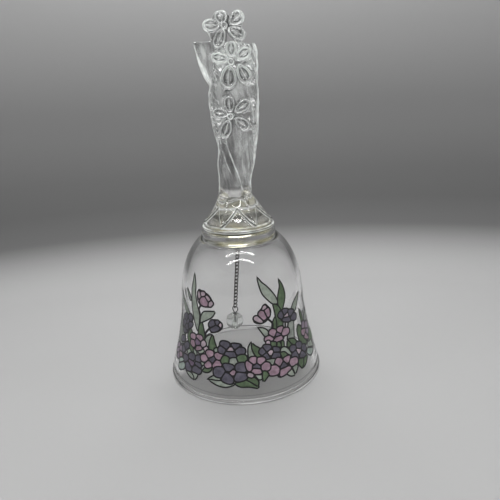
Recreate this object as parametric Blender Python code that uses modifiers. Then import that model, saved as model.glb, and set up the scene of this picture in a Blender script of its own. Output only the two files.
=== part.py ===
"""A clear glass hand bell with a pressed glass flower handle and a glass bead clapper on a fine chain.

Units are metres. The origin is the centre of the rim, on the surface that the bell stands on, with +Z up
the bell's axis and the decorated front towards -Y. Every piece is one object, in the collection glass_bell.
"""

import math

import bmesh
import bpy
from mathutils import Vector

MM = 0.001
MERGE = 0.0001
SEAT_GAP = 0.3 * MM

# Bell: radii and heights of its outside, and its walls
RIM_RADIUS = 38.0 * MM
WAIST_RADIUS = 30.0 * MM
WAIST_HEIGHT = 40.0 * MM
CROWN_RADIUS = 17.4 * MM
CROWN_HEIGHT = 72.0 * MM
CROWN_EDGE = 2.0 * MM
CROWN_CHAMFER = 0.4 * MM
CROWN_THICKNESS = 4.6 * MM
SHOULDER_INSET = 2.6 * MM
WAIST_INSET = 0.8 * MM
WALL = 2.3 * MM
RIM_WALL = 3.2 * MM
LIP_ROUND = 1.0 * MM
BELL_STEPS = 64
# How full the shoulder and the skirt are: where the ends of their curves pull, as shares of each stretch
SHOULDER_PULLS = (0.27, 0.33)
SKIRT_PULLS = (0.42, 0.2)
FLARE_PULLS = (0.11, 0.24)

# Adhesive bond between the bell's crown and the handle's foot
BOND_RADIUS = 15.4 * MM
BOND_THICKNESS = 0.5 * MM

# Handle: foot, trunk, two side leaves, two flowers in relief on each face and one that stands at the top
FOOT_RADIUS = 17.0 * MM
FOOT_EDGE = 1.3 * MM
FOOT_CHAMFER = 0.4 * MM
HANDLE_HEIGHT = 93.0 * MM
NECK_WIDTH = 14.6 * MM
TRUNK_WIDTH = 21.0 * MM
TRUNK_DEPTH = 15.0 * MM
TRUNK_DROP = 13.0 * MM
TRUNK_TWIST = math.radians(110)
TRUNK_LOBES = 3
LEAF_SPREAD = 14.6 * MM
LEAF_DROP = 12.0 * MM
LEAF_LENGTH = 33.0 * MM
LEAF_DEPTH = 6.5 * MM
FLOWER_RADIUS = 9.4 * MM
FLOWER_RELIEF = 2.8 * MM
FLOWER_ROOT = 3.5 * MM
FLOWER_DROPS = (42.8 * MM, 20.9 * MM)
FLOWER_X = 0.2 * MM
TOP_FLOWER_X = -0.9 * MM
TOP_FLOWER_RADIUS = 8.6 * MM
TOP_FLOWER_THICKNESS = 7.0 * MM
PETALS = 5

# Hook and its adhesive under the crown
HOOK_X = -0.8 * MM
HOOK_WIRE = 0.6 * MM
HOOK_EYE_RADIUS = 0.8 * MM
HOOK_SHANK = 2.1 * MM
HOOK_OPENING = 0.2 * MM
ADHESIVE_RADIUS = 3.4 * MM
ADHESIVE_DEPTH = 1.5 * MM
ADHESIVE_FLAT = 0.5 * MM

# Chain: a curb chain that hangs a little out of line with the bell's axis
LINK_COUNT = 18
LINK_WIRE = 0.42 * MM
LINK_PITCH = 1.82 * MM
LINK_WIDTH = 1.9 * MM
LINK_CLEARANCE = 0.18 * MM
LINK_TWIST = math.radians(90)
CHAIN_LEAN = math.radians(5.5)
HOOK_TURN = math.radians(70)
WIRE_SIDES = 2

# Clapper: a bored glass bead on a bent wire bail
BEAD_RADIUS = 4.35 * MM
BAIL_WIRE = 0.5 * MM
BAIL_WIDTH = 3.2 * MM
BAIL_HEIGHT = 3.5 * MM
BAIL_TAIL = 5.0 * MM
BAIL_TAIL_GAP = 0.3 * MM

# Places that follow from the sizes above
CROWN_UNDERSIDE = CROWN_HEIGHT - CROWN_THICKNESS
BOND_BASE = CROWN_HEIGHT + SEAT_GAP
HANDLE_BASE = BOND_BASE + BOND_THICKNESS + SEAT_GAP
TRUNK_TOP = HANDLE_HEIGHT - TRUNK_DROP
SHANK_TOP = CROWN_UNDERSIDE - SEAT_GAP
EYE_CENTRE = SHANK_TOP - HOOK_SHANK - HOOK_EYE_RADIUS
HOOK_POINT = Vector((HOOK_X, 0, EYE_CENTRE - HOOK_EYE_RADIUS))
FIRST_LINK_TOP = (HOOK_WIRE + LINK_WIRE) / 2 + LINK_CLEARANCE
LINK_LENGTH = LINK_PITCH + LINK_CLEARANCE + LINK_WIRE
LAST_WIRE = FIRST_LINK_TOP - (LINK_COUNT - 1) * LINK_PITCH - LINK_LENGTH
BAIL_TOP = LAST_WIRE + (LINK_WIRE + BAIL_WIRE) / 2 + LINK_CLEARANCE
BORE_RADIUS = BAIL_WIRE + BAIL_TAIL_GAP / 2 + SEAT_GAP
BEAD_DROP = BAIL_HEIGHT + math.sqrt(BEAD_RADIUS**2 - BORE_RADIUS**2)


def clear_scene():
    """Removes every object of the open scene."""
    for thing in list(bpy.data.objects):
        bpy.data.objects.remove(thing, do_unlink=True)


def new_collection(name, hidden=False):
    """A collection of the scene, left out of renders if it's hidden."""
    made = bpy.data.collections.new(name)
    made.hide_render = hidden
    bpy.context.scene.collection.children.link(made)
    return made


def material(name, colour, roughness, metallic=0.0, alpha=1.0):
    """A Principled material with one colour."""
    made = bpy.data.materials.new(name)
    made.use_nodes = True
    shader = made.node_tree.nodes["Principled BSDF"]
    shader.inputs["Base Color"].default_value = (*colour, 1.0)
    shader.inputs["Roughness"].default_value = roughness
    shader.inputs["Metallic"].default_value = metallic
    shader.inputs["Alpha"].default_value = alpha
    return made


def place(thing, collection, finish=None, parent=None, at=(0, 0, 0)):
    """Puts an object into a collection, with its material, parent and location."""
    collection.objects.link(thing)
    if finish:
        thing.data.materials.append(finish)
    thing.parent = parent
    thing.location = at
    return thing


def shade_smooth(thing):
    """Shades every face of a mesh object smooth."""
    for face in thing.data.polygons:
        face.use_smooth = True


def bezier(start, pull_start, pull_end, end, count):
    """Points along a cubic curve in the plane of a profile, without its last one."""
    found = []
    for step in range(count):
        t = step / count
        s = 1 - t
        weights = (s**3, 3 * s * s * t, 3 * s * t * t, t**3)
        corners = (start, pull_start, pull_end, end)
        found.append(tuple(sum(w * c[k] for w, c in zip(weights, corners)) for k in (0, 1)))
    return found


def turned(name, profile, steps):
    """An object turned about Z from (radius, height) points, by a Screw modifier."""
    mesh = bpy.data.meshes.new(name)
    points = [(radius, 0, height) for radius, height in profile]
    mesh.from_pydata(points, [(n, n + 1) for n in range(len(points) - 1)], [])
    thing = bpy.data.objects.new(name, mesh)
    screw = thing.modifiers.new("turn", "SCREW")
    screw.steps = steps
    screw.render_steps = steps
    screw.use_merge_vertices = True
    screw.merge_threshold = MERGE / 10
    screw.use_smooth_shade = True
    return thing


def wire(name, points, thickness, closed=False):
    """A wire along a list of points, with capped ends."""
    curve = bpy.data.curves.new(name, "CURVE")
    curve.dimensions = "3D"
    curve.bevel_depth = thickness / 2
    curve.bevel_resolution = WIRE_SIDES
    curve.use_fill_caps = not closed
    spline = curve.splines.new("POLY")
    spline.points.add(len(points) - 1)
    for slot, point in zip(spline.points, points):
        slot.co = (*point, 1)
    spline.use_cyclic_u = closed
    spline.use_smooth = True
    return bpy.data.objects.new(name, curve)


def loft(name, rings):
    """A closed mesh object through rings of equal length, each a list of points."""
    made = bmesh.new()
    rows = [[made.verts.new(point) for point in ring] for ring in rings]
    count = len(rows[0])
    for low, high in zip(rows, rows[1:]):
        for n in range(count):
            m = (n + 1) % count
            made.faces.new((low[n], low[m], high[m], high[n]))
    made.faces.new(rows[0])
    made.faces.new(rows[-1])
    bmesh.ops.recalc_face_normals(made, faces=made.faces)
    mesh = bpy.data.meshes.new(name)
    made.to_mesh(mesh)
    made.free()
    thing = bpy.data.objects.new(name, mesh)
    shade_smooth(thing)
    return thing


def smooth_rows(rows, count):
    """Rows of numbers read off a smooth curve through the given rows, evenly by row."""
    found = []
    for step in range(count + 1):
        place_on = step / count * (len(rows) - 1)
        first = min(int(place_on), len(rows) - 2)
        t = place_on - first
        p1 = rows[first]
        p2 = rows[first + 1]
        p0 = rows[max(first - 1, 0)]
        p3 = rows[min(first + 2, len(rows) - 1)]
        row = []
        for a, b, c, d in zip(p0, p1, p2, p3):
            bend = 2 * a - 5 * b + 4 * c - d
            row.append(b + 0.5 * t * (c - a + t * (bend + t * (3 * (b - c) + d - a))))
        found.append(row)
    return found


# Bell


def bell_profile():
    """The bell's section, from the top of its axis down the outside, round the lip and up the inside."""
    foot = (RIM_RADIUS, LIP_ROUND)
    waist = (WAIST_RADIUS, WAIST_HEIGHT)
    edge = (CROWN_RADIUS, CROWN_HEIGHT - CROWN_EDGE)
    rise = edge[1] - waist[1]
    flare = foot[0] - waist[0]
    drop = waist[1] - foot[1]
    shoulder = bezier(
        edge,
        (waist[0] - SHOULDER_INSET, edge[1] - SHOULDER_PULLS[0] * rise),
        (waist[0] - WAIST_INSET, waist[1] + SHOULDER_PULLS[1] * rise),
        waist,
        8,
    )
    skirt = bezier(
        waist,
        (waist[0] + FLARE_PULLS[0] * flare, waist[1] - SKIRT_PULLS[0] * drop),
        (foot[0] - FLARE_PULLS[1] * flare, foot[1] + SKIRT_PULLS[1] * drop),
        foot,
        7,
    )
    outside = shoulder + skirt + [foot]
    inside = inner_side(outside)
    inner_foot = RIM_RADIUS - RIM_WALL
    lip = []
    for angle in (math.pi / 6, math.pi / 3):
        radius = RIM_RADIUS - LIP_ROUND * (1 - math.cos(angle))
        lip.append((radius, LIP_ROUND * (1 - math.sin(angle))))
    lip += [(RIM_RADIUS - LIP_ROUND, 0), (inner_foot + LIP_ROUND, 0)]
    lip.append((inner_foot + 0.3 * LIP_ROUND, 0.3 * LIP_ROUND))
    crown = [(0, CROWN_HEIGHT), (CROWN_RADIUS - CROWN_CHAMFER, CROWN_HEIGHT)]
    crown.append((CROWN_RADIUS, CROWN_HEIGHT - CROWN_CHAMFER))
    roof = [(inside[-1][0] - WALL, CROWN_UNDERSIDE), (0, CROWN_UNDERSIDE)]
    return crown + outside + lip + inside + roof


def inner_side(outside):
    """The inside of the wall, from the rim up to where the crown closes it."""
    inside = []
    for n in range(len(outside) - 1, 0, -1):
        radius, height = outside[n]
        ahead = outside[n - 1]
        behind = outside[min(n + 1, len(outside) - 1)]
        slope = Vector((ahead[0] - behind[0], ahead[1] - behind[1])).normalized()
        share = min(1.0, height / WAIST_HEIGHT)
        wall = RIM_WALL + (WALL - RIM_WALL) * share
        point = (radius - wall * slope.y, height + wall * slope.x)
        if point[1] < CROWN_UNDERSIDE - WALL / 2:
            inside.append(point)
    return inside


def add_bell(parts, glass):
    """The bell itself: a thick walled skirt that opens downwards under a closed, flat crown."""
    return place(turned("glass_bell", bell_profile(), BELL_STEPS), parts, glass)


def add_bond_disc(parts, adhesive):
    """The thin disc of cured adhesive that holds the handle's foot on the crown."""
    radius = BOND_RADIUS
    profile = [(0, BOND_THICKNESS), (radius, BOND_THICKNESS), (radius, 0), (0, 0)]
    disc = turned("bond_disc", profile, 40)
    return place(disc, parts, adhesive, at=(0, 0, BOND_BASE))


# Handle


def trunk_ring(height, left, right, depth, lobe, points=36):
    """One level section of the handle, a rounded outline with lobes that turn with height."""
    middle = (left + right) / 2
    half = (right - left) / 2
    turn = TRUNK_TWIST * height / TRUNK_TOP
    ring = []
    for n in range(points):
        angle = math.tau * n / points
        swell = 1 - lobe * (0.5 + 0.5 * math.cos(TRUNK_LOBES * (angle - turn)))
        across = middle + half * swell * math.cos(angle)
        ring.append((across, depth / 2 * swell * math.sin(angle), height))
    return ring


def trunk():
    """The foot, the neck and the twisted trunk of the handle in one loft."""
    foot = FOOT_RADIUS
    neck = NECK_WIDTH / 2
    half = TRUNK_WIDTH / 2
    depth = TRUNK_DEPTH
    edge = [(0, foot - FOOT_CHAMFER), (FOOT_CHAMFER, foot), (FOOT_EDGE, foot)]
    rings = [trunk_ring(height, -radius, radius, 2 * radius, 0) for height, radius in edge]
    # Height as a share of the trunk, then how far the left and right sides and the depth differ from the
    # neck's or the trunk's, in millimetres, and the depth of the lobes
    flare = ((0.023, 8.1, 8.1, 16.2, 0), (0.07, 5.0, 5.0, 10.0, 0.02), (0.14, 1.8, 1.4, 2.0, 0.05))
    stalk = ((0.23, 0.9, -0.9, -1.0, 0.08), (0.36, 1.5, 1.5, 1.0, 0.14), (0.46, 0.4, 2.6, 0, 0.14))
    upper = ((0.57, -1.2, 0.9, 0, 0.12), (0.75, -0.6, 1.8, 0, 0.1), (0.9, -3, 0.8, -3, 0.08))
    tip = ((1.0, -5.0, -3.5, -8.0, 0.05),)
    rows = []
    for share, left, right, deeper, lobe in flare + stalk:
        sides = (-neck - left * MM, neck + right * MM, 2 * neck + deeper * MM)
        rows.append((share * TRUNK_TOP, *sides, lobe))
    for share, left, right, deeper, lobe in upper + tip:
        sides = (-half - left * MM, half + right * MM, depth + deeper * MM)
        rows.append((share * TRUNK_TOP, *sides, lobe))
    rings += [trunk_ring(*row) for row in smooth_rows(rows, 20)]
    return loft("handle", rings)


def leaf(name, rows, points=14):
    """One leaf of the handle, from rows of height, left edge, right edge and thickness."""
    rings = []
    for height, left, right, thickness in smooth_rows(rows, 7):
        ring = []
        for n in range(points):
            angle = math.tau * n / points
            across = (left + right) / 2 + (right - left) / 2 * math.cos(angle)
            ring.append((across, thickness / 2 * math.sin(angle), height))
        rings.append(ring)
    return loft(name, rings)


def side_leaves():
    """The two broad leaves whose tips stand out beside the top flower."""
    half = TRUNK_WIDTH / 2
    top = HANDLE_HEIGHT - LEAF_DROP
    low = top - LEAF_LENGTH
    thick = LEAF_DEPTH
    inner = 1.0 * MM
    left_rows = [
        (low, -half + 2 * inner, -inner, thick),
        (low + 0.42 * LEAF_LENGTH, -half, -inner, 1.3 * thick),
        (low + 0.76 * LEAF_LENGTH, -0.85 * LEAF_SPREAD, -3 * inner, thick),
        (top, -LEAF_SPREAD, -0.5 * LEAF_SPREAD, thick / 3),
    ]
    right_rows = [
        (low, inner, half - inner / 2, thick),
        (low + 0.42 * LEAF_LENGTH, inner, half + 1.6 * inner, 1.3 * thick),
        (low + 0.76 * LEAF_LENGTH, 3 * inner, half + 2 * inner, thick),
        (top - 1.5 * inner, 6 * inner, half + inner, thick / 3),
    ]
    return [leaf("left_leaf", left_rows), leaf("right_leaf", right_rows)]


def petal_reach(angle):
    """How far the flower's outline reaches at an angle, as a share of its radius."""
    return 0.5 + 0.5 * abs(math.cos(PETALS * angle / 2)) ** 0.75


def flower(name, centre, radius, back, front, turn, shape, points=50):
    """A flower of round petals in the XZ plane. Its shape is rows of radius share and depth, from -1 to 1."""
    middle = (back + front) / 2
    swell = (front - back) / 2
    rings = []
    for share, depth in shape:
        ring = []
        for n in range(points):
            angle = math.tau * n / points
            reach = radius * share * petal_reach(angle)
            ring.append(
                (
                    centre[0] + reach * math.sin(angle + turn),
                    middle + swell * depth,
                    centre[1] + reach * math.cos(angle + turn),
                )
            )
        rings.append(ring)
    return loft(name, rings)


def flowers():
    """The flowers of the front and the back, and the one that stands free at the top."""
    raised = ((0.3, -1.0), (0.96, -1.0), (1.0, 0.1), (0.72, 0.8), (0.3, 1.0))
    free = ((0.3, -1.0), (0.72, -0.8), (1.0, -0.15), (1.0, 0.15), (0.72, 0.8), (0.3, 1.0))
    surface = TRUNK_DEPTH / 2
    made = []
    for n, drop in enumerate(FLOWER_DROPS):
        turn = math.radians(12 * n - 12)
        centre = (FLOWER_X, HANDLE_HEIGHT - drop)
        for side, word in ((-1, "front"), (1, "back")):
            root = side * (surface - FLOWER_ROOT)
            crest = side * (surface + FLOWER_RELIEF)
            name = f"{word}_flower_{n + 1}"
            made.append(flower(name, centre, FLOWER_RADIUS, root, crest, -side * turn, raised))
    top = (TOP_FLOWER_X, HANDLE_HEIGHT - TOP_FLOWER_RADIUS)
    half = TOP_FLOWER_THICKNESS / 2
    made.append(flower("top_flower", top, TOP_FLOWER_RADIUS, -half, half, 0, free))
    return made


def add_handle(parts, cutters, glass):
    """The handle, one piece of pressed glass: its trunk joined to its leaves and flowers."""
    body = trunk()
    place(body, parts, glass, at=(0, 0, HANDLE_BASE))
    for shape in side_leaves() + flowers():
        place(shape, cutters, at=(0, 0, HANDLE_BASE))
        shape.hide_render = True
        shape.display_type = "WIRE"
        join = body.modifiers.new(shape.name, "BOOLEAN")
        join.operation = "UNION"
        join.solver = "EXACT"
        join.object = shape
    return body


# Hook


def eye_points(radius, centre_height, start, sweep, count):
    """Points round an eye in the XZ plane, from an angle counted from its top."""
    found = []
    for n in range(count + 1):
        angle = start + sweep * n / count
        found.append((radius * math.sin(angle), 0, centre_height + radius * math.cos(angle)))
    return found


def add_hook(parts, steel):
    """The wire eye pin under the crown: a straight shank that ends in an open eye."""
    clear = (HOOK_WIRE + HOOK_OPENING) / HOOK_EYE_RADIUS
    points = [(0, 0, SHANK_TOP), (0, 0, EYE_CENTRE + HOOK_EYE_RADIUS + 0.5 * HOOK_SHANK)]
    points += eye_points(HOOK_EYE_RADIUS, EYE_CENTRE, 0, math.tau - clear, 18)
    hook = wire("chain_hook", points, HOOK_WIRE)
    hook.rotation_euler = (0, 0, HOOK_TURN)
    return place(hook, parts, steel, at=(HOOK_X, 0, 0))


def add_hook_adhesive(parts, adhesive):
    """The dome of clear adhesive round the hook's shank."""
    bore = HOOK_WIRE / 2 + SEAT_GAP / 2
    top = CROWN_UNDERSIDE - SEAT_GAP
    profile = [(bore, top), (ADHESIVE_RADIUS, top)]
    for n in range(1, 6):
        angle = n / 5 * math.pi / 2
        spread = (ADHESIVE_RADIUS - bore - ADHESIVE_FLAT) * math.cos(angle)
        height = top - ADHESIVE_DEPTH * math.sin(angle)
        profile.append((bore + ADHESIVE_FLAT + spread, height))
    profile += [(bore, top - ADHESIVE_DEPTH), (bore, top)]
    return place(turned("hook_adhesive", profile, 28), parts, adhesive, at=(HOOK_X, 0, 0))


# Chain


def link_points(top):
    """The centreline of one twisted link, with the middle of its upper bend at the given height."""
    radius = (LINK_WIDTH - LINK_WIRE) / 2
    straight = LINK_LENGTH - 2 * radius
    outline = []
    for side in (1, -1):
        middle = side * straight / 2
        for n in range(6):
            angle = math.pi * n / 5
            across = side * radius * math.cos(angle)
            outline.append((across, middle + side * radius * math.sin(angle)))
        outline.append((-side * radius, 0))
    points = []
    for across, height in outline:
        turn = -LINK_TWIST * height / LINK_LENGTH
        level = top - LINK_LENGTH / 2 + height
        points.append((across * math.cos(turn), across * math.sin(turn), level))
    return points


def add_links(parts, steel, line):
    """The chain's links, each with its origin on the joint that it hangs from."""
    made = []
    for n in range(LINK_COUNT):
        above = HOOK_WIRE if n == 0 else LINK_WIRE
        top = FIRST_LINK_TOP - n * LINK_PITCH
        on_upper_wire = n % 2 == 0
        pivot = top - (above + LINK_WIRE) / 2 - LINK_CLEARANCE if on_upper_wire else top
        link = wire(f"chain_link_{n + 1:02d}", link_points(top - pivot), LINK_WIRE, True)
        link.rotation_euler = (0, 0, HOOK_TURN - LINK_TWIST / 2)
        made.append(place(link, parts, steel, line, (0, 0, pivot)))
    return made


# Clapper


def bail_points():
    """The bail's wire: from one tail up round the lozenge shaped loop and back to the other tail."""
    tail = (BAIL_WIRE + BAIL_TAIL_GAP) / 2
    wide = (BAIL_WIDTH - BAIL_WIRE) / 2
    half = [
        (tail, -BAIL_HEIGHT - BAIL_TAIL),
        (tail, -BAIL_HEIGHT),
        (0.62 * wide, -0.72 * BAIL_HEIGHT),
        (0.95 * wide, -0.46 * BAIL_HEIGHT),
        (wide, -0.3 * BAIL_HEIGHT),
        (0.82 * wide, -0.12 * BAIL_HEIGHT),
        (0.45 * wide, -0.02 * BAIL_HEIGHT),
    ]
    right = [(across, 0, height) for across, height in half]
    left = [(-across, 0, height) for across, height in reversed(half)]
    return right + [(0, 0, 0)] + left


def bead_profile():
    """The bead's section: a ball with a straight bore down its middle."""
    start = math.asin(BORE_RADIUS / BEAD_RADIUS)
    sweep = math.pi - 2 * start
    steps = 14
    profile = []
    for n in range(steps + 1):
        angle = start + sweep * n / steps
        profile.append((BEAD_RADIUS * math.sin(angle), BEAD_RADIUS * math.cos(angle)))
    return profile + [profile[0]]


def add_clapper(parts, steel, glass, line):
    """The bail and the bead, carried by an empty on the last joint."""
    swing = bpy.data.objects.new("clapper", None)
    swing.rotation_euler = (0, 0, HOOK_TURN - LINK_TWIST)
    place(swing, parts, parent=line, at=(0, 0, BAIL_TOP))
    bail = wire("clapper_bail", bail_points(), BAIL_WIRE)
    place(bail, parts, steel, swing)
    bead = turned("clapper_bead", bead_profile(), 32)
    place(bead, parts, glass, swing, (0, 0, -BEAD_DROP))
    return bail, bead


def main():
    clear_scene()
    parts = new_collection("glass_bell")
    cutters = new_collection("handle_shapes", hidden=True)
    clear_glass = material("clear_glass", (0.86, 0.88, 0.88), 0.05, alpha=0.35)
    pressed_glass = material("pressed_glass", (0.78, 0.8, 0.79), 0.4, alpha=0.6)
    bead_glass = material("bead_glass", (0.84, 0.85, 0.83), 0.08, alpha=0.45)
    clear_adhesive = material("clear_adhesive", (0.87, 0.85, 0.72), 0.2, alpha=0.5)
    steel = material("dark_steel", (0.2, 0.19, 0.18), 0.35, metallic=1.0)

    add_bell(parts, clear_glass)
    add_bond_disc(parts, clear_adhesive)
    add_handle(parts, cutters, pressed_glass)
    add_hook(parts, steel)
    add_hook_adhesive(parts, clear_adhesive)

    line = bpy.data.objects.new("chain_line", None)
    place(line, parts, at=HOOK_POINT)
    line.rotation_euler = (0, CHAIN_LEAN, 0)
    add_links(parts, steel, line)
    add_clapper(parts, steel, bead_glass, line)


main()
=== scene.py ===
"""Looks for the glass bell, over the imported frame: glass, enamel, steel chain, soft studio and camera.

Units are metres, unless a name or a comment says millimetres. The front of the bell faces -Y.
"""

import math

import bmesh
import bpy
import numpy as np
from mathutils import Matrix, Vector
from mathutils.geometry import delaunay_2d_cdt


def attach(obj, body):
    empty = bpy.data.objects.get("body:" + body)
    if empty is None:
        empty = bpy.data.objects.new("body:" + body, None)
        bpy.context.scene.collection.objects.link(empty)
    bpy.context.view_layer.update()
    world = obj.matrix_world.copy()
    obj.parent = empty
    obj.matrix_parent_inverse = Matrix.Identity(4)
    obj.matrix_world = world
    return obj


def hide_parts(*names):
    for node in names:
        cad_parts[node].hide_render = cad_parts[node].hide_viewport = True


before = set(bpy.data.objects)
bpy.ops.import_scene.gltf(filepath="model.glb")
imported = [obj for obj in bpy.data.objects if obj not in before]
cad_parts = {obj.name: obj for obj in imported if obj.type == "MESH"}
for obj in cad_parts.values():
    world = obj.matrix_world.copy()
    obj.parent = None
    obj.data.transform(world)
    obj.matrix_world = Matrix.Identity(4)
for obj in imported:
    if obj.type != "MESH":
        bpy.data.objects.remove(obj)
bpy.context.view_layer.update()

MM = 0.001

# The bell's section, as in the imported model
RIM_RADIUS = 38.0 * MM
WAIST_RADIUS = 30.0 * MM
WAIST_HEIGHT = 40.0 * MM
CROWN_RADIUS = 17.4 * MM
CROWN_HEIGHT = 72.0 * MM
CROWN_EDGE = 2.0 * MM
CROWN_CHAMFER = 0.4 * MM
CROWN_UNDERSIDE = 67.4 * MM
SHOULDER_INSET = 2.6 * MM
WAIST_INSET = 0.8 * MM
WALL = 2.3 * MM
RIM_WALL = 3.2 * MM
LIP_ROUND = 1.0 * MM
SHOULDER_PULLS = (0.27, 0.33)
SKIRT_PULLS = (0.42, 0.2)
FLARE_PULLS = (0.11, 0.24)
BELL_STEPS = 192
LIP_BEAD = 3.0 * MM
LIP_GROOVE = 0.35 * MM

# The handle's sizes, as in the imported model
HANDLE_BASE = 73.1 * MM
FOOT_RADIUS = 17.0 * MM
FOOT_EDGE = 1.3 * MM
FOOT_CHAMFER = 0.4 * MM
NECK_WIDTH = 14.6 * MM
TRUNK_WIDTH = 21.0 * MM
TRUNK_DEPTH = 15.0 * MM
TRUNK_TOP = 80.0 * MM
FLOWER_RELIEF = 2.8 * MM
TOP_FLOWER_HALF = 3.5 * MM

# The flowers in millimetres: a centre above the handle's foot, then petals as the centre, half length, half
# width and direction in degrees of each
FLOWERS = (
    (
        (-0.8, 50.2),
        ((-0.1, 5, 3.5, 2.3, 92), (5.4, 3.9, 4.1, 2.3, 33), (-4.2, 1.5, 3.5, 2, 168),
         (-2.1, -5, 4.1, 2.4, 248), (4.9, -3.1, 3.7, 2.3, 321)),
    ),
    (
        (0.8, 72.1),
        ((0.4, 4.8, 3.3, 2.1, 90), (5.4, 2.9, 3.4, 2.4, 27), (-4.6, 1.7, 3.9, 2.1, 166),
         (-1.3, -5.9, 4.8, 3.4, 263), (5, -5, 4.2, 2.8, 298)),
    ),
)
TOP_FLOWER = (
    (-1.2, 86.8),
    ((-1.1, 3.2, 2.7, 2.6, 104), (5.3, 2.6, 3.6, 2.7, 36), (-5.4, 0.4, 3.8, 2.4, 178),
     (-2.2, -4.9, 4.2, 2.4, 247), (5.1, -3, 4, 2.3, 332)),
)
# The web of glass behind the top flower's petals: directions in degrees and reach in millimetres
TOP_WEB = (
    (18, 8.5), (41, 8.2), (61, 4.6), (78, 5.4), (94, 6.1), (123, 6.4), (157, 6.1), (172, 8.7),
    (205, 7.4), (243, 9.6), (267, 7.6), (290, 8.2), (313, 9.3), (338, 9.9), (354, 7.6),
)

# The leaves wrapped round the neck, and how many degrees they turn in each millimetre of height
WRAP_LEAVES = 3
WRAP_TURN = 2.85

# Clear glass, the glow of the tube lamps, and the camera: its place, then pan, tilt and roll in degrees
GLASS = {"IOR": 1.5, "Transmission Weight": 1.0}
TUBE_GLOW = 22.0
CAMERA_LENS = 33.26
CAMERA_PLACE = (0, -0.2143, 0.1262)
CAMERA_ANGLES = (-1.32, -17.02, -2.90)

# Adhesive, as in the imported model, and how deep it wets the glass
BOND_RADIUS = 15.4 * MM
ADHESIVE_RADIUS = 3.4 * MM
ADHESIVE_DEPTH = 1.5 * MM
WET = 0.03 * MM

# Hook, chain and clapper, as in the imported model
HOOK_X = -0.8 * MM
HOOK_WIRE = 0.6 * MM
HOOK_EYE_RADIUS = 0.8 * MM
HOOK_OPENING = 0.2 * MM
SHANK_TOP = 67.1 * MM
EYE_CENTRE = 64.2 * MM
HOOK_POINT = Vector((HOOK_X, 0, 63.4 * MM))
HOOK_TURN = math.radians(70)
CHAIN_LEAN = math.radians(5.5)
LINK_COUNT = 18
LINK_WIRE = 0.42 * MM
LINK_PITCH = 1.82 * MM
LINK_WIDTH = 1.9 * MM
LINK_LENGTH = 2.42 * MM
LINK_TWIST = math.radians(90)
STOUT = 0.12 * MM
FIRST_LINK_TOP = 0.69 * MM
BAIL_TOP = -32.03 * MM
BAIL_WIRE = 0.5 * MM
BAIL_WIDTH = 3.2 * MM
BAIL_HEIGHT = 3.5 * MM
BAIL_TAIL = 5.0 * MM
BAIL_TAIL_GAP = 0.3 * MM
BEAD_RADIUS = 4.35 * MM
BORE_RADIUS = 0.95 * MM
BEAD_DROP = 7.745 * MM

# Enamel: sRGB colours, and how far it stands out of the glass
ENAMEL = {
    "pink": (168, 142, 156),
    "pale": (190, 174, 183),
    "mauve": (148, 133, 150),
    "plum": (100, 97, 110),
    "green": (98, 117, 90),
    "sage": (160, 169, 158),
    "mint": (172, 186, 178),
    "grey": (154, 160, 153),
    "violet": (122, 105, 126),
    "black": (20, 19, 21),
}
ENAMEL_ROOT = -0.05 * MM
ENAMEL_FACE = 0.06 * MM
OUTLINE_FACE = 0.09 * MM
OUTLINE = 0.68
LEAF_OUTLINE = 0.68
CELL_GROW = 0.28
HALF_LINE = 0.35
DEGREE = 0.55

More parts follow.
